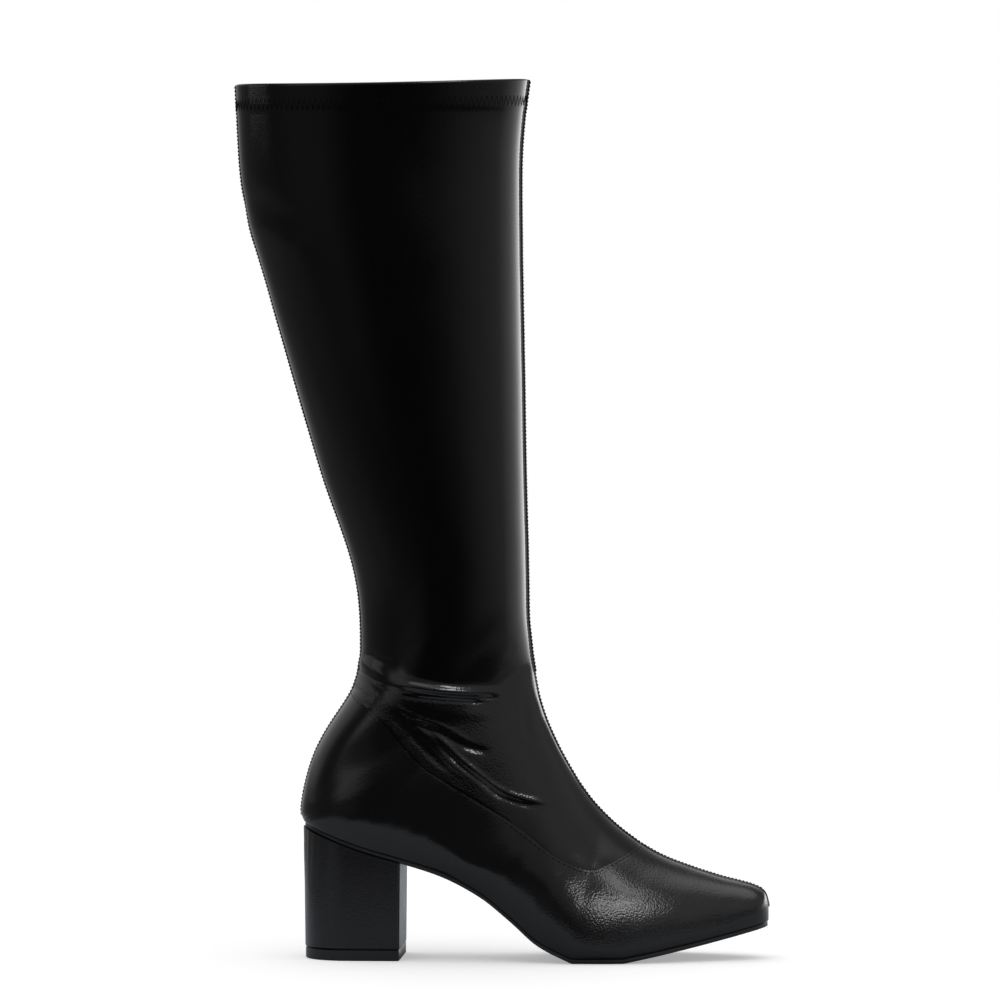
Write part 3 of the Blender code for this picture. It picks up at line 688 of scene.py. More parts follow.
def mark_crinkles(piece, crinkled_share):
    """Keeps the share of crinkled skin at each point of a piece for its material."""
    places = np.zeros(3 * len(piece.data.vertices))
    piece.data.vertices.foreach_get("co", places)
    share = crinkled_share(places.reshape(-1, 3))
    piece.data.attributes.new("crinkled", "FLOAT", "POINT").data.foreach_set("value", share)


def new_finish(name):
    """New material with its tree and its shader."""
    material = bpy.data.materials.new(name)
    material.use_nodes = True
    return material, material.node_tree, material.node_tree.nodes["Principled BSDF"]


def pattern(tree, place, kind, settings=(), inputs=()):
    """Texture node that reads a place."""
    texture = shader_node(tree, kind, settings, inputs)
    tree.links.new(place, texture.inputs["Vector"])
    return texture


def raise_grain(tree, shader, height, strength, depth):
    """Lets a height show as the grain of a finish."""
    bump = shader_node(tree, "ShaderNodeBump", (), {"Strength": strength, "Distance": depth})
    tree.links.new(height, bump.inputs["Height"])
    tree.links.new(bump.outputs[0], shader.inputs["Normal"])


def colour_between_tones(tree, shader, share, dark, light):
    """Lets the colour of a finish change between two tones."""
    tone = shader_node(tree, "ShaderNodeMix", {"data_type": "RGBA"})
    tone.inputs["A"].default_value = (*dark, 1.0)
    tone.inputs["B"].default_value = (*light, 1.0)
    tree.links.new(share, tone.inputs["Factor"])
    tree.links.new(tone.outputs["Result"], shader.inputs["Base Color"])


def cloudy_gloss(tree, cloud, smooth, rough):
    """Roughness that changes between two values with a cloudy pattern."""
    gloss = shader_node(tree, "ShaderNodeMapRange", (), {
        "From Min": 0.3, "From Max": 0.7, "To Min": smooth, "To Max": rough})
    tree.links.new(cloud, gloss.inputs["Value"])
    return gloss.outputs[0]


PEBBLE_SHARE = -0.9
CRINKLE_SHARE = 0.15
PULL_SHARE = 0.05
PULL_STRETCH = (1.0, 1.0, 6.0)


def coated_skin(name, dark, light, smooth, rough, grain_depth):
    """Glossy coated stretch skin: pebble grain, fine crinkles and cross pulls, deeper where crinkled."""
    material, tree, shader = new_finish(name)
    place = shader_node(tree, "ShaderNodeTexCoord").outputs["Object"]
    stretch = shader_node(tree, "ShaderNodeMapping", (), {"Scale": PULL_STRETCH})
    tree.links.new(place, stretch.inputs["Vector"])
    pebble = pattern(tree, place, "ShaderNodeTexVoronoi", {"feature": "SMOOTH_F1"},
                     {"Scale": 950.0, "Smoothness": 0.35})
    crinkle = pattern(tree, place, "ShaderNodeTexNoise", (),
                      {"Scale": 320.0, "Detail": 4.0, "Roughness": 0.6})
    pull = pattern(tree, stretch.outputs[0], "ShaderNodeTexNoise", (), {"Scale": 190.0, "Detail": 3.0})
    cloud = pattern(tree, place, "ShaderNodeTexNoise", (), {"Scale": 34.0, "Detail": 4.0})
    grain = weighted_sum(tree, (
        (pebble.outputs["Distance"], PEBBLE_SHARE), (crinkle.outputs[0], CRINKLE_SHARE),
        (pull.outputs[0], PULL_SHARE)))
    crinkled = shader_node(tree, "ShaderNodeAttribute", {"attribute_name": "crinkled"}).outputs["Fac"]
    deeper = shader_node(tree, "ShaderNodeMath", {"operation": "MULTIPLY_ADD"}, {1: CRINKLE_DEPTH, 2: 1.0})
    tree.links.new(crinkled, deeper.inputs[0])
    relief = shader_node(tree, "ShaderNodeMath", {"operation": "MULTIPLY"})
    tree.links.new(grain, relief.inputs[0])
    tree.links.new(deeper.outputs[0], relief.inputs[1])
    raise_grain(tree, shader, relief.outputs[0], 1.0, grain_depth)
    gloss = cloudy_gloss(tree, cloud.outputs[0], smooth, rough)
    duller = weighted_sum(tree, ((gloss, 1.0), (crinkled, CRINKLE_DULLNESS)))
    tree.links.new(duller, shader.inputs["Roughness"])
    colour_between_tones(tree, shader, crinkle.outputs[0], dark, light)
    return material


# Share of a tone kept in its darker colour: painted shade in the hollows of the knitted back, and random wear
# on the thread.
PAINTED_SHADE_AND_WEAR = 0.5
FABRIC_SHEEN = 0.04


def knitted_back(name, colour):
    """Fine knitted fabric on the inside: columns of small loops, with painted shade that darkens the hollows
    between them.
    """
    material, tree, shader = new_finish(name)
    shader.inputs["Roughness"].default_value = 0.85
    shader.inputs["Sheen Weight"].default_value = FABRIC_SHEEN
    place = shader_node(tree, "ShaderNodeUVMap", {"uv_map": "skin"}).outputs[0]
    column = pattern(tree, place, "ShaderNodeTexWave", {"bands_direction": "X"},
                     {"Scale": 350.0, "Distortion": 1.5})
    loop = pattern(tree, place, "ShaderNodeTexWave", {"bands_direction": "Y"},
                   {"Scale": 260.0, "Distortion": 2.5})
    height = weighted_sum(tree, ((column.outputs["Fac"], 0.6), (loop.outputs["Fac"], 0.4)))
    raise_grain(tree, shader, height, 0.6, 0.0003)
    # Painted shade: the colour follows the height of the knit, darker in the hollows between the loops.
    colour_between_tones(tree, shader, height, [PAINTED_SHADE_AND_WEAR * value for value in colour], colour)
    return material


# Rows of the skin's grid as runs from, to and count: closest round the toe and where the folds lie
TIP_END = 6.0
TIP_ROWS = 16
TIP_CLOSENESS = 1.4
STATION_RUNS = (
    (TIP_END, 60, 36), (60, 200, 66), (200, STATION_OF["heel back"], 60), (STATION_OF["heel back"], 330, 96),
    (330, 356, 30), (356, 390, 17), (390, 636, 33))
COLLAR_RUN = (636, STATION_OF["collar"] - SHAFT_WALL / 2 / MM, 14)
STATION_ROWS = np.concatenate((
    TIP_END * np.linspace(0, 1, TIP_ROWS, endpoint=False) ** TIP_CLOSENESS,
    *(np.linspace(*run, endpoint=False) for run in STATION_RUNS), np.linspace(*COLLAR_RUN)))

# Girth lines of one half in the same way: closest beside the ridge and the back and where the folds lie
GIRTH_RUNS = ((0, 0.028, 9), (0.028, 0.22, 18), (0.22, 0.55, 94), (0.55, 0.972, 54))
BACK_RUN = (0.972, 1, 9)
half_lines = np.concatenate((
    *(np.linspace(*run, endpoint=False) for run in GIRTH_RUNS), np.linspace(*BACK_RUN)))
GIRTH_LINES = np.concatenate((-half_lines[:0:-1], half_lines))
SKIN_HALF_GIRTH = 0.18
RIM_TURNS = 6
INNER_STEP = 3


def skin_grid(rows, girth_lines, depth):
    """Points of the skin at a depth under its outer face, their map, and their height over the vamp seam."""
    stations, girths = np.meshgrid(rows, girth_lines, indexing="ij")
    bare = last_points(stations, girths)
    height = skin_height(stations, girths) - depth
    points = bare + last_normals(stations, girths) * height[..., None]
    on_back = rows >= STATION_OF["heel back"]
    joined = (points[:, 0] + points[:, -1]) / 2
    points[on_back, 0] = points[on_back, -1] = joined[on_back]
    points[0] = (points[0] + points[0, ::-1]) / 2
    uv = np.stack([girths * SKIN_HALF_GIRTH, stations * MM], axis=-1)
    return points, uv, over_seam(bare)


def rolled_rim(points, uv, above):
    """Grid with the rows added that roll the collar's rim over to the inside."""
    up = points[-1] - points[-2]
    up /= np.linalg.norm(up, axis=1)[:, None]
    out = last_normals(np.full(len(GIRTH_LINES), STATION_ROWS[-1]), GIRTH_LINES)
    radius = SHAFT_WALL / 2
    turns = np.linspace(0, math.pi, RIM_TURNS + 1)[1:]
    rim = [points[-1] - radius * (1 - math.cos(turn)) * out + radius * math.sin(turn) * up for turn in turns]
    rim_uv = [uv[-1] + (0.0, radius * turn) for turn in turns]
    return (np.concatenate((points, rim)), np.concatenate((uv, rim_uv)),
            np.concatenate((above, np.repeat(above[-1:], RIM_TURNS, axis=0))))


def kept_lines(lines, step):
    """Every few lines of a grid, with the first and the last."""
    return np.unique(np.concatenate((lines[::step], lines[-1:])))


skin = skin_grid(STATION_ROWS, GIRTH_LINES, 0.0)
inner_rows = np.unique(np.append(kept_lines(STATION_ROWS, INNER_STEP), STATION_OF["heel back"]))
inner_lines = np.unique(np.append(kept_lines(GIRTH_LINES, INNER_STEP), 0.0))
LEG_DARK = (0.0006, 0.0006, 0.0007)
LEG_LIGHT = (0.001, 0.001, 0.0011)
leg_skin = coated_skin("glossy leg skin", LEG_DARK, LEG_LIGHT, 0.11, 0.15, 0.000025)
leg_back = knitted_back("knitted back of the leg", (0.03, 0.029, 0.03))
leg_outer, leg_uv, leg_above = rolled_rim(*skin)
below_rim = inner_rows[:-1]
leg_inner, leg_inner_uv, leg_inner_above = skin_grid(below_rim, inner_lines, SHAFT_WALL)
leg = walled_piece("leg", cut_sheet(leg_outer, leg_uv, leg_above - SEAM_GAP / 2),
                   cut_sheet(leg_inner, leg_inner_uv, leg_inner_above - SEAM_GAP / 2), (leg_skin, leg_back))
mark_crinkles(leg, crinkled_leg)
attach(leg, BODY)
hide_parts("shaft")

# Foot part: vamp and heel counter of the same coated skin on a thin fabric, pulled over a last with a
# snip toe and glued under the insole's edge. A raised seam runs along the ridge to the toe, another
# up the back of the heel, and a stiffener keeps the counter smooth.
FOOT_WALL = 0.0018
VAMP_GRAIN_START = 0.135
VAMP_GRAIN_FADE = 0.030
VAMP_GRAIN = 0.32
FOOT_DARK = (0.0040, 0.0040, 0.0042)
FOOT_LIGHT = (0.0055, 0.0055, 0.0058)


def grained_vamp(points):
    """Share of the deeper grain where the vamp is stretched over the toes."""
    return VAMP_GRAIN * soft_step((points[..., 0] + MIDDLE_X - VAMP_GRAIN_START) / VAMP_GRAIN_FADE)


foot_skin = coated_skin("glossy foot skin", FOOT_DARK, FOOT_LIGHT, 0.12, 0.16, 0.00003)
foot_back = knitted_back("fabric lining of the foot", (0.032, 0.03, 0.03))
foot_outer, foot_uv, foot_above = skin
foot_inner, foot_inner_uv, foot_inner_above = skin_grid(inner_rows, inner_lines, FOOT_WALL)
foot = walled_piece("foot_part", cut_sheet(foot_outer, foot_uv, -foot_above - SEAM_GAP / 2),
                    cut_sheet(foot_inner, foot_inner_uv, -foot_inner_above - SEAM_GAP / 2),
                    (foot_skin, foot_back))
mark_crinkles(foot, grained_vamp)
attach(foot, BODY)
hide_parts("upper")

# Thread: bonded polyester, twisted from three plies. A zigzag row holds the collar's hem, short stitches
# lie on the crests of the front and back seams, and one row runs just below the seam round the foot part.
THREAD_RADIUS = 0.00021
HEM_ROW_DEPTH = 0.0118
HEM_ROW_HEIGHT = 0.0065
HEM_ROW_PITCH = 0.0015
HEM_ROW_ARCH = 0.00012
HEM_ROW_POINTS = 360
CREST_PITCH = 0.0020
CREST_STITCH = 0.0014
CREST_ARCH = 0.00030
CREST_END = STATION_OF["collar"] - 1.5
FRONT_CREST_POINTS = 900
BACK_CREST_START = STATION_OF["heel back"] + 5.0
BACK_CREST_POINTS = 600
FOOT_ROW_BELOW = 0.0014
FOOT_ROW_PITCH = 0.0031
FOOT_ROW_STITCH = 0.0022
FOOT_ROW_ARCH = 0.00022
FOOT_ROW_END = 0.995
FOOT_ROW_POINTS = 700
SEAM_HALVINGS = 40


def seam_station(girth, clear):
    """Station at which girth lines cross the seam; clear moves the crossing square to the seam line."""
    low = np.zeros_like(girth)
    high = np.full_like(girth, STATION_OF["calf"])
    for _ in range(SEAM_HALVINGS):
        middle = (low + high) / 2
        above = over_seam(last_points(middle, girth)) > clear
        high = np.where(above, middle, high)
        low = np.where(above, low, middle)
    return (low + high) / 2


def stitch_row_tree():
    """Geometry Nodes tree that lays arched stitches along a path, leaning left and right by turns."""
    tree = bpy.data.node_groups.new("stitch row", "GeometryNodeTree")
    tree.interface.new_socket("Path", in_out="INPUT", socket_type="NodeSocketGeometry")
    for name in ("Pitch", "Length", "Thread radius", "Arch", "Lean"):
        tree.interface.new_socket(name, in_out="INPUT", socket_type="NodeSocketFloat")
    tree.interface.new_socket("Thread", in_out="INPUT", socket_type="NodeSocketMaterial")
    tree.interface.new_socket("Stitches", in_out="OUTPUT", socket_type="NodeSocketGeometry")
    link = tree.links.new
    given = tree.nodes.new("NodeGroupInput").outputs

    def number(operation, *terms):
        node = shader_node(tree, "ShaderNodeMath", {"operation": operation})
        for socket, term in zip(node.inputs, terms):
            if isinstance(term, (int, float)):
                socket.default_value = term
            else:
                link(term, socket)
        return node.outputs[0]

    def place(along, up):
        node = shader_node(tree, "ShaderNodeCombineXYZ")
        link(along, node.inputs["X"])
        link(up, node.inputs["Z"])
        return node.outputs[0]

    sunk = number("MULTIPLY", given["Thread radius"], -1.0)
    crown = number("MULTIPLY", given["Arch"], 2.0)
    arch = shader_node(tree, "GeometryNodeCurveQuadraticBezier", (), {"Resolution": 4})
    link(place(number("MULTIPLY", given["Length"], -0.5), sunk), arch.inputs["Start"])
    link(place(number("MULTIPLY", given["Length"], 0.0), crown), arch.inputs["Middle"])
    link(place(number("MULTIPLY", given["Length"], 0.5), sunk), arch.inputs["End"])
    ply = shader_node(tree, "GeometryNodeCurvePrimitiveCircle", {"mode": "RADIUS"}, {"Resolution": 6})
    link(given["Thread radius"], ply.inputs["Radius"])
    stitch = shader_node(tree, "GeometryNodeCurveToMesh", (), {"Fill Caps": True})
    link(arch.outputs[0], stitch.inputs["Curve"])
    link(ply.outputs[0], stitch.inputs["Profile Curve"])

    chain = shader_node(tree, "GeometryNodeMeshToCurve")
    spaced = shader_node(tree, "GeometryNodeResampleCurve", {"mode": "LENGTH"})
    link(given["Path"], chain.inputs[0])
    link(chain.outputs[0], spaced.inputs["Curve"])
    link(given["Pitch"], spaced.inputs["Length"])
    out = shader_node(tree, "GeometryNodeInputNamedAttribute", {"data_type": "FLOAT_VECTOR"}, {"Name": "out"})
    facing = shader_node(tree, "FunctionNodeAxesToRotation", {"primary_axis": "X", "secondary_axis": "Z"})
    link(shader_node(tree, "GeometryNodeInputTangent").outputs[0], facing.inputs["Primary Axis"])
    link(out.outputs["Attribute"], facing.inputs["Secondary Axis"])
    by_turns = number("MODULO", shader_node(tree, "GeometryNodeInputIndex").outputs[0], 2)
    side = number("MULTIPLY_ADD", by_turns, 2, -1)
    lean = shader_node(tree, "FunctionNodeAxisAngleToRotation", (), {"Axis": (0, 0, 1)})
    link(number("MULTIPLY", side, given["Lean"]), lean.inputs["Angle"])
    leaning = shader_node(tree, "FunctionNodeRotateRotation", {"rotation_space": "LOCAL"})
    link(facing.outputs[0], leaning.inputs["Rotation"])
    link(lean.outputs[0], leaning.inputs["Rotate By"])
    sewn = shader_node(tree, "GeometryNodeInstanceOnPoints")
    link(spaced.outputs[0], sewn.inputs["Points"])
    link(stitch.outputs[0], sewn.inputs["Instance"])
    link(leaning.outputs[0], sewn.inputs["Rotation"])
    real = shader_node(tree, "GeometryNodeRealizeInstances")
    smooth = shader_node(tree, "GeometryNodeSetShadeSmooth")
    dyed = shader_node(tree, "GeometryNodeSetMaterial")
    link(sewn.outputs[0], real.inputs[0])
    link(real.outputs[0], smooth.inputs[0])
    link(smooth.outputs[0], dyed.inputs["Geometry"])
    link(given["Thread"], dyed.inputs["Material"])
    link(dyed.outputs[0], tree.nodes.new("NodeGroupOutput").inputs[0])
    return tree


def twisted_thread(name, colour):
    """Bonded thread: fine slanting plies and a slight change of tone."""
    material, tree, shader = new_finish(name)
    shader.inputs["Roughness"].default_value = 0.5
    shader.inputs["Specular IOR Level"].default_value = 0.12
    place = shader_node(tree, "ShaderNodeTexCoord").outputs["Object"]
    plies = pattern(tree, place, "ShaderNodeTexWave", {"bands_direction": "DIAGONAL"}, {"Scale": 900.0})
    wear = pattern(tree, place, "ShaderNodeTexNoise", (), {"Scale": 700.0, "Detail": 2.0})
    raise_grain(tree, shader, plies.outputs["Fac"], 0.5, 0.00004)
    colour_between_tones(tree, shader, wear.outputs[0], [PAINTED_SHADE_AND_WEAR * value for value in colour], colour)
    return material


def stitched(name, paths, pitch, length, arch, lean):
    """Piece with the stitches along some paths, each a line of stations, a line of girths, closed or not."""
    corners = []
    outs = []
    edges = []
    for stations, girths, closed in paths:
        out = last_normals(stations, girths)
        points = last_points(stations, girths) + out * skin_height(stations, girths)[:, None]
        first = len(corners)
        corners += points.tolist()
        outs += out.tolist()
        edges += [(first + k, first + k + 1) for k in range(len(points) - 1)]
        if closed:
            edges.append((len(corners) - 1, first))
    mesh = bpy.data.meshes.new(name)
    mesh.from_pydata(corners, edges, [])
    mesh.attributes.new("out", "FLOAT_VECTOR", "POINT").data.foreach_set("vector", np.array(outs).ravel())
    piece = bpy.data.objects.new(name, mesh)
    bpy.context.scene.collection.objects.link(piece)
    sewing = piece.modifiers.new("sewing", "NODES")
    sewing.node_group = STITCH_ROW
    sizes = {"Pitch": pitch, "Length": length, "Thread radius": THREAD_RADIUS, "Arch": arch, "Lean": lean,
             "Thread": black_thread}
    for socket in STITCH_ROW.interface.items_tree:
        if socket.name in sizes:
            sewing[socket.identifier] = sizes[socket.name]
    graph = bpy.context.evaluated_depsgraph_get()
    stitches = bpy.data.meshes.new_from_object(piece.evaluated_get(graph))
    piece.modifiers.clear()
    piece.data = stitches
    bpy.data.meshes.remove(mesh)
    stitches.name = name
    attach(piece, BODY)


STITCH_ROW = stitch_row_tree()
black_thread = twisted_thread("black thread", (0.0016, 0.0016, 0.0018))
round_the_leg = np.linspace(-1.0, 1.0, HEM_ROW_POINTS, endpoint=False)
hem_row = (np.full_like(round_the_leg, STATION_OF["collar"] - HEM_ROW_DEPTH / MM), round_the_leg, True)
stitched("hem_thread", [hem_row], HEM_ROW_PITCH, math.hypot(HEM_ROW_PITCH, HEM_ROW_HEIGHT), HEM_ROW_ARCH,
         math.atan2(HEM_ROW_HEIGHT, HEM_ROW_PITCH))
up_the_front = np.linspace(STATION_OF["toe top"], CREST_END, FRONT_CREST_POINTS)
up_the_back = np.linspace(BACK_CREST_START, CREST_END, BACK_CREST_POINTS)
crest_rows = [(up_the_front, np.zeros_like(up_the_front), False),
              (up_the_back, np.ones_like(up_the_back), False)]
stitched("crest_thread", crest_rows, CREST_PITCH, CREST_STITCH, CREST_ARCH, 0.0)
round_the_foot = np.linspace(-FOOT_ROW_END, FOOT_ROW_END, FOOT_ROW_POINTS)
foot_row = (seam_station(round_the_foot, -FOOT_ROW_BELOW), round_the_foot, False)
stitched("foot_seam_thread", [foot_row], FOOT_ROW_PITCH, FOOT_ROW_STITCH, FOOT_ROW_ARCH, 0.0)

# Insole: fibre board under a thin fabric sock, glued in over the turned edge of the skin. Its edge is
# rolled and the sock is a little padded under the heel.
INSOLE_THICKNESS = 0.0022
INSOLE_EDGE = 0.0008
INSOLE_ROWS = 120
SOLE_INSET = 0.0006
PAD_HEIGHT = 0.0010
PAD_FLANK = 0.7
PAD_END = 0.075
PAD_FADE = 0.02
NARROW_HALF = 0.004
EDGE_STEPS = 4
ACROSS_STEPS = 8


def end_dense(count, start, end):
    """Places from start to end that lie closer at both ends."""
    return start + (end - start) * (1 - np.cos(np.linspace(0, math.pi, count + 1))) / 2


def plate_side(x, inset, bottom, top, profile):
    """Points up or down one rounded side of a plate at one place along the foot."""
    left = outline(x, -1.0, inset)
    right = outline(x, 1.0, inset)
    half = (right - left) / 2
    middle = (right + left) / 2
    narrowness = min(half / NARROW_HALF, 1.0)
    return [np.array((x - MIDDLE_X, middle + side * (half - draw * narrowness),
                      bottom + (top - bottom) * height)) for side, draw, height in profile]


def edge_profiles(roundness):
    """Side, draw-in and height of the points up the inner and down the outer edge of a plate."""
    turns = [math.pi * k / (2 * EDGE_STEPS) for k in range(EDGE_STEPS + 1)]
    lower = [(roundness * (1 - math.sin(turn)), 0.5 * (1 - math.cos(turn))) for turn in turns]
    upper = [(draw, 1 - height) for draw, height in reversed(lower)]
    inner_edge = [(1.0, draw, height) for draw, height in lower + upper]
    outer_edge = [(-1.0, draw, height) for _, draw, height in reversed(inner_edge)]
    return inner_edge, outer_edge


def ringed_solid(name, rings, material):
    """Closed solid from rings of points that follow each other."""
    sheet = np.array(rings)
    rows, columns = sheet.shape[:2]
    faces = []
    for i in range(rows - 1):
        for j in range(columns):
            following = (j + 1) % columns
            faces.append((i * columns + j, i * columns + following,
                          (i + 1) * columns + following, (i + 1) * columns + j))
    faces.append(tuple(reversed(range(columns))))
    faces.append(tuple((rows - 1) * columns + j for j in range(columns)))
    mesh = bpy.data.meshes.new(name)
    mesh.from_pydata(sheet.reshape(-1, 3).tolist(), [], faces)
    mesh.materials.append(material)
    finish_mesh(mesh)
    piece = bpy.data.objects.new(name, mesh)
    bpy.context.scene.collection.objects.link(piece)
    return piece


def plate(name, places, inset, bottom, top, roundness, material):
    """Closed plate with rounded edges over the plan of the sole, from rings across it."""
    inner_edge, outer_edge = edge_profiles(roundness)
    shares = [k / ACROSS_STEPS for k in range(1, ACROSS_STEPS)]
    rings = []
    for x in places:
        near = plate_side(x, inset, bottom(x), top(x, 0.0), inner_edge)
        far = plate_side(x, inset, bottom(x), top(x, 0.0), outer_edge)
        top_row = [near[-1] * (1 - s) + far[0] * s for s in shares]
        for point, s in zip(top_row, shares):
            point[2] += top(x, 1 - abs(1 - 2 * s)) - top(x, 0.0)
        low_row = [far[-1] * (1 - s) + near[0] * s for s in shares]
        rings.append(near + top_row + far + low_row)
    return ringed_solid(name, rings, material)


def woven_sock(name, colour):
    """Fine plain weave for the sock of the insole, with painted shade that darkens the hollows between the
    yarns.
    """
    material, tree, shader = new_finish(name)
    shader.inputs["Roughness"].default_value = 0.8
    shader.inputs["Sheen Weight"].default_value = FABRIC_SHEEN
    place = shader_node(tree, "ShaderNodeTexCoord").outputs["Object"]
    yarns = [pattern(tree, place, "ShaderNodeTexWave", {"bands_direction": way},
                     {"Scale": 320.0, "Distortion": 0.6}) for way in "XY"]
    height = weighted_sum(tree, [(yarn.outputs["Fac"], 0.5) for yarn in yarns])
    raise_grain(tree, shader, height, 0.5, 0.00025)
    # Painted shade: the colour follows the height of the weave, darker in the hollows between the yarns.
    colour_between_tones(tree, shader, height, [0.55 * value for value in colour], colour)
    return material


def insole_top(x, share):
    """Upper face of the insole; share runs from 0 at its edges to 1 in its middle."""
    pad = PAD_HEIGHT * soft_step(share / PAD_FLANK) * soft_step((PAD_END - x) / PAD_FADE)
    return float(sole_line(x) + INSOLE_THICKNESS + pad)


def insole_bottom(x):
    """Lower face of the insole, where the turned edge of the skin lies."""
    return float(sole_line(x))


insole_inset = FOOT_WALL + SOLE_INSET
insole_places = end_dense(INSOLE_ROWS, HEEL_START + insole_inset, FOOT_LENGTH - insole_inset)
sock = woven_sock("woven sock", (0.034, 0.032, 0.031))
insole = plate("insole_sock", insole_places, insole_inset, insole_bottom, insole_top, INSOLE_EDGE, sock)
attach(insole, BODY)
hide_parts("insole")

# Outsole: a thin moulded rubber sheet, glued on from the heel seat to the toe, with a trimmed and
# polished edge and a finely roughened tread below.
SOLE_ROWS = 150
SOLE_EDGE = 0.0010


def sole_rubber(name):
    """Black moulded rubber: satin edge, fine crossed ribs and rubbed spots on the tread."""
    material, tree, shader = new_finish(name)
    place = shader_node(tree, "ShaderNodeTexCoord").outputs["Object"]
    grain = pattern(tree, place, "ShaderNodeTexNoise", (), {"Scale": 420.0, "Detail": 3.0})
    rib = pattern(tree, place, "ShaderNodeTexWave", {"bands_direction": "DIAGONAL"}, {"Scale": 130.0})
    cloud = pattern(tree, place, "ShaderNodeTexNoise", (), {"Scale": 45.0, "Detail": 5.0})
    height = weighted_sum(tree, ((grain.outputs[0], 0.6), (rib.outputs["Fac"], 0.25)))
    raise_grain(tree, shader, height, 0.5, 0.0001)
    tree.links.new(cloudy_gloss(tree, cloud.outputs[0], 0.28, 0.48), shader.inputs["Roughness"])
    colour_between_tones(tree, shader, cloud.outputs[0], (0.010, 0.010, 0.011), (0.020, 0.020, 0.021))
    return material


def sole_bottom(x):
    """Tread of the outsole."""
    return float(sole_line(x)) - SOLE_THICKNESS


def sole_top(x, share):
    """Upper face of the outsole, level right across, just under the skin's lower edge."""
    return float(sole_line(x)) - SEAM_GAP


rubber = sole_rubber("sole rubber")
sole_places = end_dense(SOLE_ROWS, HEEL_START + SOLE_INSET, FOOT_LENGTH - SOLE_INSET)
outsole = plate("outsole_sheet", sole_places, SOLE_INSET, sole_bottom, sole_top, SOLE_EDGE, rubber)
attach(outsole, BODY)
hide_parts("outsole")

# Heel: a moulded block wrapped in the same glossy skin, cut flat at the breast and round behind,
# nailed through the heel seat. The wrap puckers a little where it turns under the seat.
HEEL_BACK = 0.0010
HEEL_BREAST = 0.0545
HEEL_BLOCK_WIDTH = 0.0545
HEEL_TAPER = 0.0008
HEEL_CORNER = 0.0016
BREAST_SHARES = (0.6, 0.2, -0.2, -0.6)
TOP_PIECE_HEIGHT = 0.0060
HEEL_ROUND_STEPS = 34
HEEL_SIDE_STEPS = 14
HEEL_CORNER_STEPS = 6
HEEL_HEIGHT_STEPS = 46
HEEL_EDGE_ROUND = 0.0006
PUCKER_DEPTH = 0.00016
PUCKER_PITCH = 0.0052
PUCKER_START = 0.45
PUCKER_LENGTH = 0.40
PUCKER_LEAN = 5.0


def heel_loop(shrink):
    """Plan of the heel block as a closed loop: outer side from the breast to the back, then inner side."""
    back = HEEL_BACK + shrink
    breast = HEEL_BREAST - shrink / 2
    quarter = math.pi / 2
    corner = [breast - HEEL_CORNER * (1 - math.cos(quarter * k / HEEL_CORNER_STEPS))
              for k in range(HEEL_CORNER_STEPS)]
    side = list(np.linspace(breast - HEEL_CORNER, HEEL_ROUND, HEEL_SIDE_STEPS, endpoint=False))
    turn = [back + (HEEL_ROUND - back) * (1 - math.sin(quarter * k / HEEL_ROUND_STEPS))
            for k in range(HEEL_ROUND_STEPS + 1)]
    places = np.array(corner + side + turn)
    behind = rounded_end(places - back, HEEL_ROUND - HEEL_BACK, HEEL_SQUARENESS)
    half = HEEL_BLOCK_WIDTH / 2 - shrink
    reach = behind * (half - HEEL_CORNER * (1 - rounded_end(breast - places, HEEL_CORNER, 2.0)))
    outer_side = np.stack([places, -reach], axis=-1)
    inner_side = np.stack([places, reach], axis=-1)[::-1]
    breast_line = [(breast, share * reach[0]) for share in BREAST_SHARES]
    return np.concatenate((outer_side, inner_side[1:], np.array(breast_line)))


def puckers(plan, share):
    """Small upright waves of the wrap round the back of the block, deepest below the seat."""
    steps = np.linalg.norm(np.diff(plan, axis=0, prepend=plan[:1]), axis=1)
    out = plan - (HEEL_ROUND, 0.0)
    out /= np.linalg.norm(out, axis=1)[:, None]
    behind = soft_step((HEEL_ROUND - plan[:, 0]) / HEEL_ROUND)
    wave = np.sin(2 * math.pi * np.cumsum(steps) / PUCKER_PITCH + PUCKER_LEAN * share)
    depth = PUCKER_DEPTH * soft_step((share - PUCKER_START) / PUCKER_LENGTH)
    return depth * (behind * wave)[:, None] * out


def level_ring(plan, z):
    """Ring of points of a plan at one height, or at a height for each point."""
    return np.stack([plan[:, 0] - MIDDLE_X, plan[:, 1], np.broadcast_to(z, len(plan))], axis=-1)


def heel_rings():
    """Rings of the heel block from its rounded lower edge up to the slanting seat."""
    low = heel_loop(HEEL_TAPER)
    high = heel_loop(0.0)
    foot_z = TOP_PIECE_HEIGHT + SEAM_GAP
    seat = sole_line(high[:, 0]) - SOLE_THICKNESS - SEAM_GAP
    rings = [level_ring(heel_loop(HEEL_TAPER + HEEL_EDGE_ROUND), foot_z)]
    for share in np.linspace(0, 1, HEEL_HEIGHT_STEPS + 1):
        z = foot_z + HEEL_EDGE_ROUND * (1 - share) + (seat - foot_z) * share
        plan = low + (high - low) * share
        rings.append(level_ring(plan + puckers(plan, share), z))
    return rings


heel_skin = coated_skin("glossy heel wrap", (0.008, 0.008, 0.009), (0.013, 0.013, 0.014), 0.2, 0.3, 0.00003)
heel = ringed_solid("heel_block", heel_rings(), heel_skin)
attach(heel, BODY)
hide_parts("heel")

# Top piece: wearing tread of the heel, moulded of the same hard black rubber as the sole. It follows
# the block's plan, a little inside it, and is pinned on from below.
TOP_PIECE_INSET = 0.0003
TOP_PIECE_ROUND = 0.0005


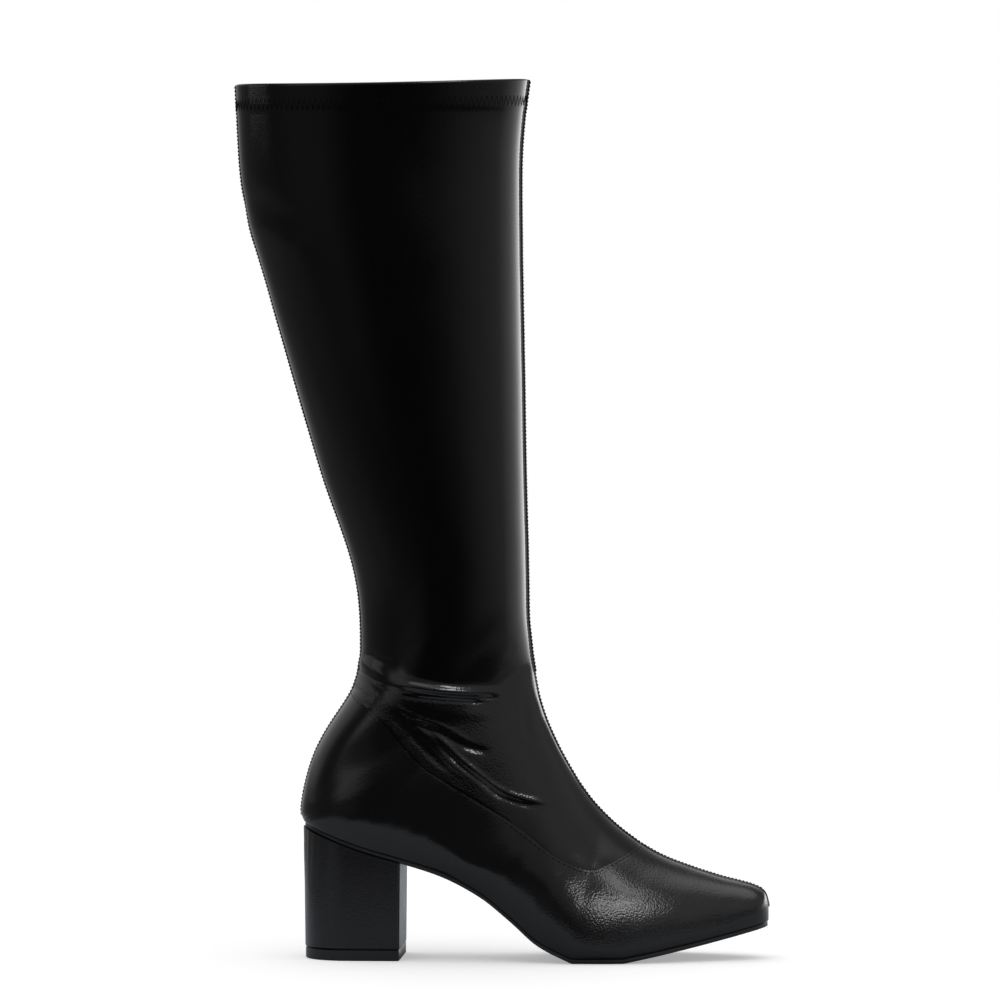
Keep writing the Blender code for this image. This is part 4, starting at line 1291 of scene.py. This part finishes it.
def top_piece_rings():
    """Rings of the top piece from the floor to the heel block, drawn in at both edges."""
    plan = heel_loop(HEEL_TAPER + TOP_PIECE_INSET)
    drawn = heel_loop(HEEL_TAPER + TOP_PIECE_INSET + TOP_PIECE_ROUND)
    heights = ((drawn, 0.0), (plan, TOP_PIECE_ROUND), (plan, TOP_PIECE_HEIGHT / 2),
               (plan, TOP_PIECE_HEIGHT - TOP_PIECE_ROUND), (drawn, TOP_PIECE_HEIGHT))
    return [level_ring(loop, z) for loop, z in heights]


top_piece = ringed_solid("heel_tread", top_piece_rings(), rubber)
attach(top_piece, BODY)
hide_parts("top_piece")

# Stage: a pale table top that ends a little before the boot, in a dim room with a bright wall behind the
# toe side and a soft ceiling. Four small lamps bring out folds, nape and vamp. The back goes to white.
CAMERA_TURN = math.radians(3.4)
CAMERA_RISE = math.radians(1.0)
CAMERA_AWAY = 3.14
CAMERA_SIGHT = 50
CAMERA_AIM = (-0.0005, 0.0, 0.2450)
FRAME_WIDTH = 0.535
SENSOR = 36.0
TABLE_FRONT = -0.30
TABLE_BACK = 1.3
TABLE_LEFT = -0.38
TABLE_RIGHT = 1.6
FLOOR_TONE = (0.56, 0.59, 0.65)
FLOOR_TONE_SEEN = (0.93, 0.93, 0.93)
FLOOR_LIFT = 0.36

floor_mesh = bpy.data.meshes.new("floor")
table_corners = [(TABLE_LEFT, TABLE_FRONT, 0), (TABLE_RIGHT, TABLE_FRONT, 0), (TABLE_RIGHT, TABLE_BACK, 0),
                 (TABLE_LEFT, TABLE_BACK, 0)]
floor_mesh.from_pydata(table_corners, [], [(0, 1, 2, 3)])
floor = bpy.data.objects.new("floor", floor_mesh)
bpy.context.scene.collection.objects.link(floor)
pale, pale_tree, pale_shader = new_finish("pale floor")
pale_shader.inputs["Roughness"].default_value = 0.9
pale_shader.inputs["Specular IOR Level"].default_value = 0.0
pale_shader.inputs["Emission Color"].default_value = (1, 1, 1, 1)
seen = shader_node(pale_tree, "ShaderNodeLightPath").outputs["Is Camera Ray"]
colour_between_tones(pale_tree, pale_shader, seen, FLOOR_TONE, FLOOR_TONE_SEEN)
pale_tree.links.new(weighted_sum(pale_tree, ((seen, FLOOR_LIFT),)), pale_shader.inputs["Emission Strength"])
floor_mesh.materials.append(pale)

# Light of the room by the angle from the camera towards the toe: from below, at eye height and from above.
LightRow = namedtuple("LightRow", "degrees below level above")
LIGHT_AROUND = [LightRow(*row) for row in (
    (-180, 0.50, 0.50, 0.60),
    (-150, 0.34, 0.34, 0.60),
    (-120, 0.20, 0.17, 0.55),
    (-104, 0.20, 0.15, 0.45),
    (-90, 0.20, 0.13, 0.16),
    (-76, 0.17, 0.11, 0.09),
    (-62, 0.14, 0.09, 0.12),
    (-46, 0.08, 0.12, 0.60),
    (-31, 0.05, 0.11, 0.44),
    (-24, 0.04, 0.06, 0.28),
    (-16, 0.03, 0.026, 0.22),
    (0, 0.03, 0.024, 0.25),
    (14, 0.03, 0.045, 0.40),
    (24, 0.035, 0.10, 0.45),
    (36, 0.04, 0.19, 0.50),
    (52, 0.06, 0.28, 0.48),
    (70, 0.16, 0.38, 0.50),
    (86, 0.40, 0.62, 0.50),
    (102, 0.90, 1.00, 0.45),
    (118, 1.60, 1.70, 0.30),
    (132, 2.80, 2.90, 0.22),
    (147, 3.00, 3.20, 0.22),
    (160, 1.50, 1.60, 0.30),
    (170, 0.70, 0.70, 0.70),
    (180, 0.50, 0.50, 0.60),
)]
LIGHT_OVERHEAD = 1.7

# Heights of a direction between which one light goes over into the next
BELOW_TO_LEVEL = (-0.20, -0.06)
LEVEL_TO_ABOVE = (0.08, 0.20)
ABOVE_TO_OVERHEAD = (0.75, 0.95)

world = bpy.data.worlds.new("studio")
bpy.context.scene.world = world
world.use_nodes = True
sky = world.node_tree
backdrop = sky.nodes["Background"]
ways = shader_node(sky, "ShaderNodeSeparateXYZ")
sky.links.new(shader_node(sky, "ShaderNodeTexCoord").outputs["Generated"], ways.inputs[0])
towards = shader_node(sky, "ShaderNodeMath", {"operation": "MULTIPLY"}, {1: -1.0})
sky.links.new(ways.outputs["Y"], towards.inputs[0])
around = shader_node(sky, "ShaderNodeMath", {"operation": "ARCTAN2"})
sky.links.new(ways.outputs["X"], around.inputs[0])
sky.links.new(towards.outputs[0], around.inputs[1])
turn = shader_node(sky, "ShaderNodeMath", {"operation": "MULTIPLY_ADD"},
                   {1: 0.5 / math.pi, 2: 0.5 - CAMERA_TURN / (2 * math.pi)})
sky.links.new(around.outputs[0], turn.inputs[0])


def light_ramp(column):
    """Light of one column of the table, by the angle around the boot."""
    ramp = shader_node(sky, "ShaderNodeValToRGB")
    stops = ramp.color_ramp.elements
    while len(stops) < len(LIGHT_AROUND):
        stops.new(0.5)
    for stop, row in zip(stops, LIGHT_AROUND):
        level = getattr(row, column)
        stop.position = (row.degrees + 180) / 360
        stop.color = (level, level, level, 1.0)
    sky.links.new(turn.outputs[0], ramp.inputs[0])
    return ramp.outputs["Color"]


def blend_by_height(low, high, start, end):
    """Changes from the low to the high light between two heights of the direction."""
    rise = shader_node(sky, "ShaderNodeMapRange", {"interpolation_type": "SMOOTHSTEP"},
                       {"From Min": start, "From Max": end})
    sky.links.new(ways.outputs["Z"], rise.inputs["Value"])
    blend = shader_node(sky, "ShaderNodeMix", {"data_type": "RGBA"})
    sky.links.new(rise.outputs[0], blend.inputs["Factor"])
    sky.links.new(low, blend.inputs["A"])
    sky.links.new(high, blend.inputs["B"])
    return blend.outputs["Result"]


overhead = shader_node(sky, "ShaderNodeRGB")
overhead.outputs[0].default_value = (LIGHT_OVERHEAD, LIGHT_OVERHEAD, LIGHT_OVERHEAD, 1.0)
room = blend_by_height(light_ramp("below"), light_ramp("level"), *BELOW_TO_LEVEL)
room = blend_by_height(room, light_ramp("above"), *LEVEL_TO_ABOVE)
room = blend_by_height(room, overhead.outputs[0], *ABOVE_TO_OVERHEAD)
white_back = shader_node(sky, "ShaderNodeMix", {"data_type": "RGBA"})
white_back.inputs["B"].default_value = (1.0, 1.0, 1.0, 1.0)
sky.links.new(shader_node(sky, "ShaderNodeLightPath").outputs["Is Camera Ray"], white_back.inputs["Factor"])
sky.links.new(room, white_back.inputs["A"])
sky.links.new(white_back.outputs["Result"], backdrop.inputs["Color"])

# Small soft lamps: turn from the camera and rise in degrees as seen from the place they face, distance,
# width and height, strength, that place, tilt in degrees, and the one piece that each lights.
Lamp = namedtuple("Lamp", "name turn rise away width height level aim tilt lit")
LAMPS = [Lamp(*row) for row in (
    ("fold lamp", 22, 45, 1.0, 0.32, 0.22, 9.5, (-0.022, -0.030, 0.145), 0, leg),
    ("nape lamp", -85, 25, 1.0, 0.45, 0.25, 0.45, (-0.066, -0.022, 0.150), 0, leg),
    ("vamp strip lamp", 20.5, 24.5, 0.18, 0.130, 0.032, 6.5, (0.062, -0.036, 0.032), 18, foot),
    ("broad vamp lamp", 40, 43, 0.18, 0.052, 0.066, 3.0, (0.058, -0.033, 0.042), 14, foot),
)]


def way_out(turn_angle, rise_angle):
    """Direction from the boot at a turn from the outer side towards the toe and a rise, in radians."""
    return Vector((math.sin(turn_angle) * math.cos(rise_angle), -math.cos(turn_angle) * math.cos(rise_angle),
                   math.sin(rise_angle)))


for lamp in LAMPS:
    way = way_out(math.radians(lamp.turn) + CAMERA_TURN, math.radians(lamp.rise))
    light_data = bpy.data.lights.new(lamp.name, "AREA")
    light_data.shape = "RECTANGLE"
    light_data.size, light_data.size_y = lamp.width, lamp.height
    light_data.energy = lamp.level * math.pi * lamp.width * lamp.height
    light = bpy.data.objects.new(lamp.name, light_data)
    light.location = Vector(lamp.aim) + lamp.away * way
    light.rotation_mode = "QUATERNION"
    light.rotation_quaternion = way.to_track_quat("Z", "Y") @ Quaternion((0, 0, 1), math.radians(lamp.tilt))
    light.visible_camera = False
    bpy.context.scene.collection.objects.link(light)
    lit = bpy.data.collections.new("lit by the " + lamp.name)
    lit.objects.link(lamp.lit)
    light.light_linking.receiver_collection = lit

camera_data = bpy.data.cameras.new("camera")
camera_data.sensor_width = SENSOR
camera_data.lens = SENSOR * CAMERA_AWAY / FRAME_WIDTH
camera_data.clip_end = CAMERA_SIGHT
camera = bpy.data.objects.new("camera", camera_data)
camera.location = Vector(CAMERA_AIM) + CAMERA_AWAY * way_out(CAMERA_TURN, CAMERA_RISE)
camera.rotation_euler = (math.pi / 2 - CAMERA_RISE, 0, CAMERA_TURN)
bpy.context.scene.collection.objects.link(camera)
bpy.context.scene.camera = camera
bpy.context.scene.view_settings.view_transform = "Standard"
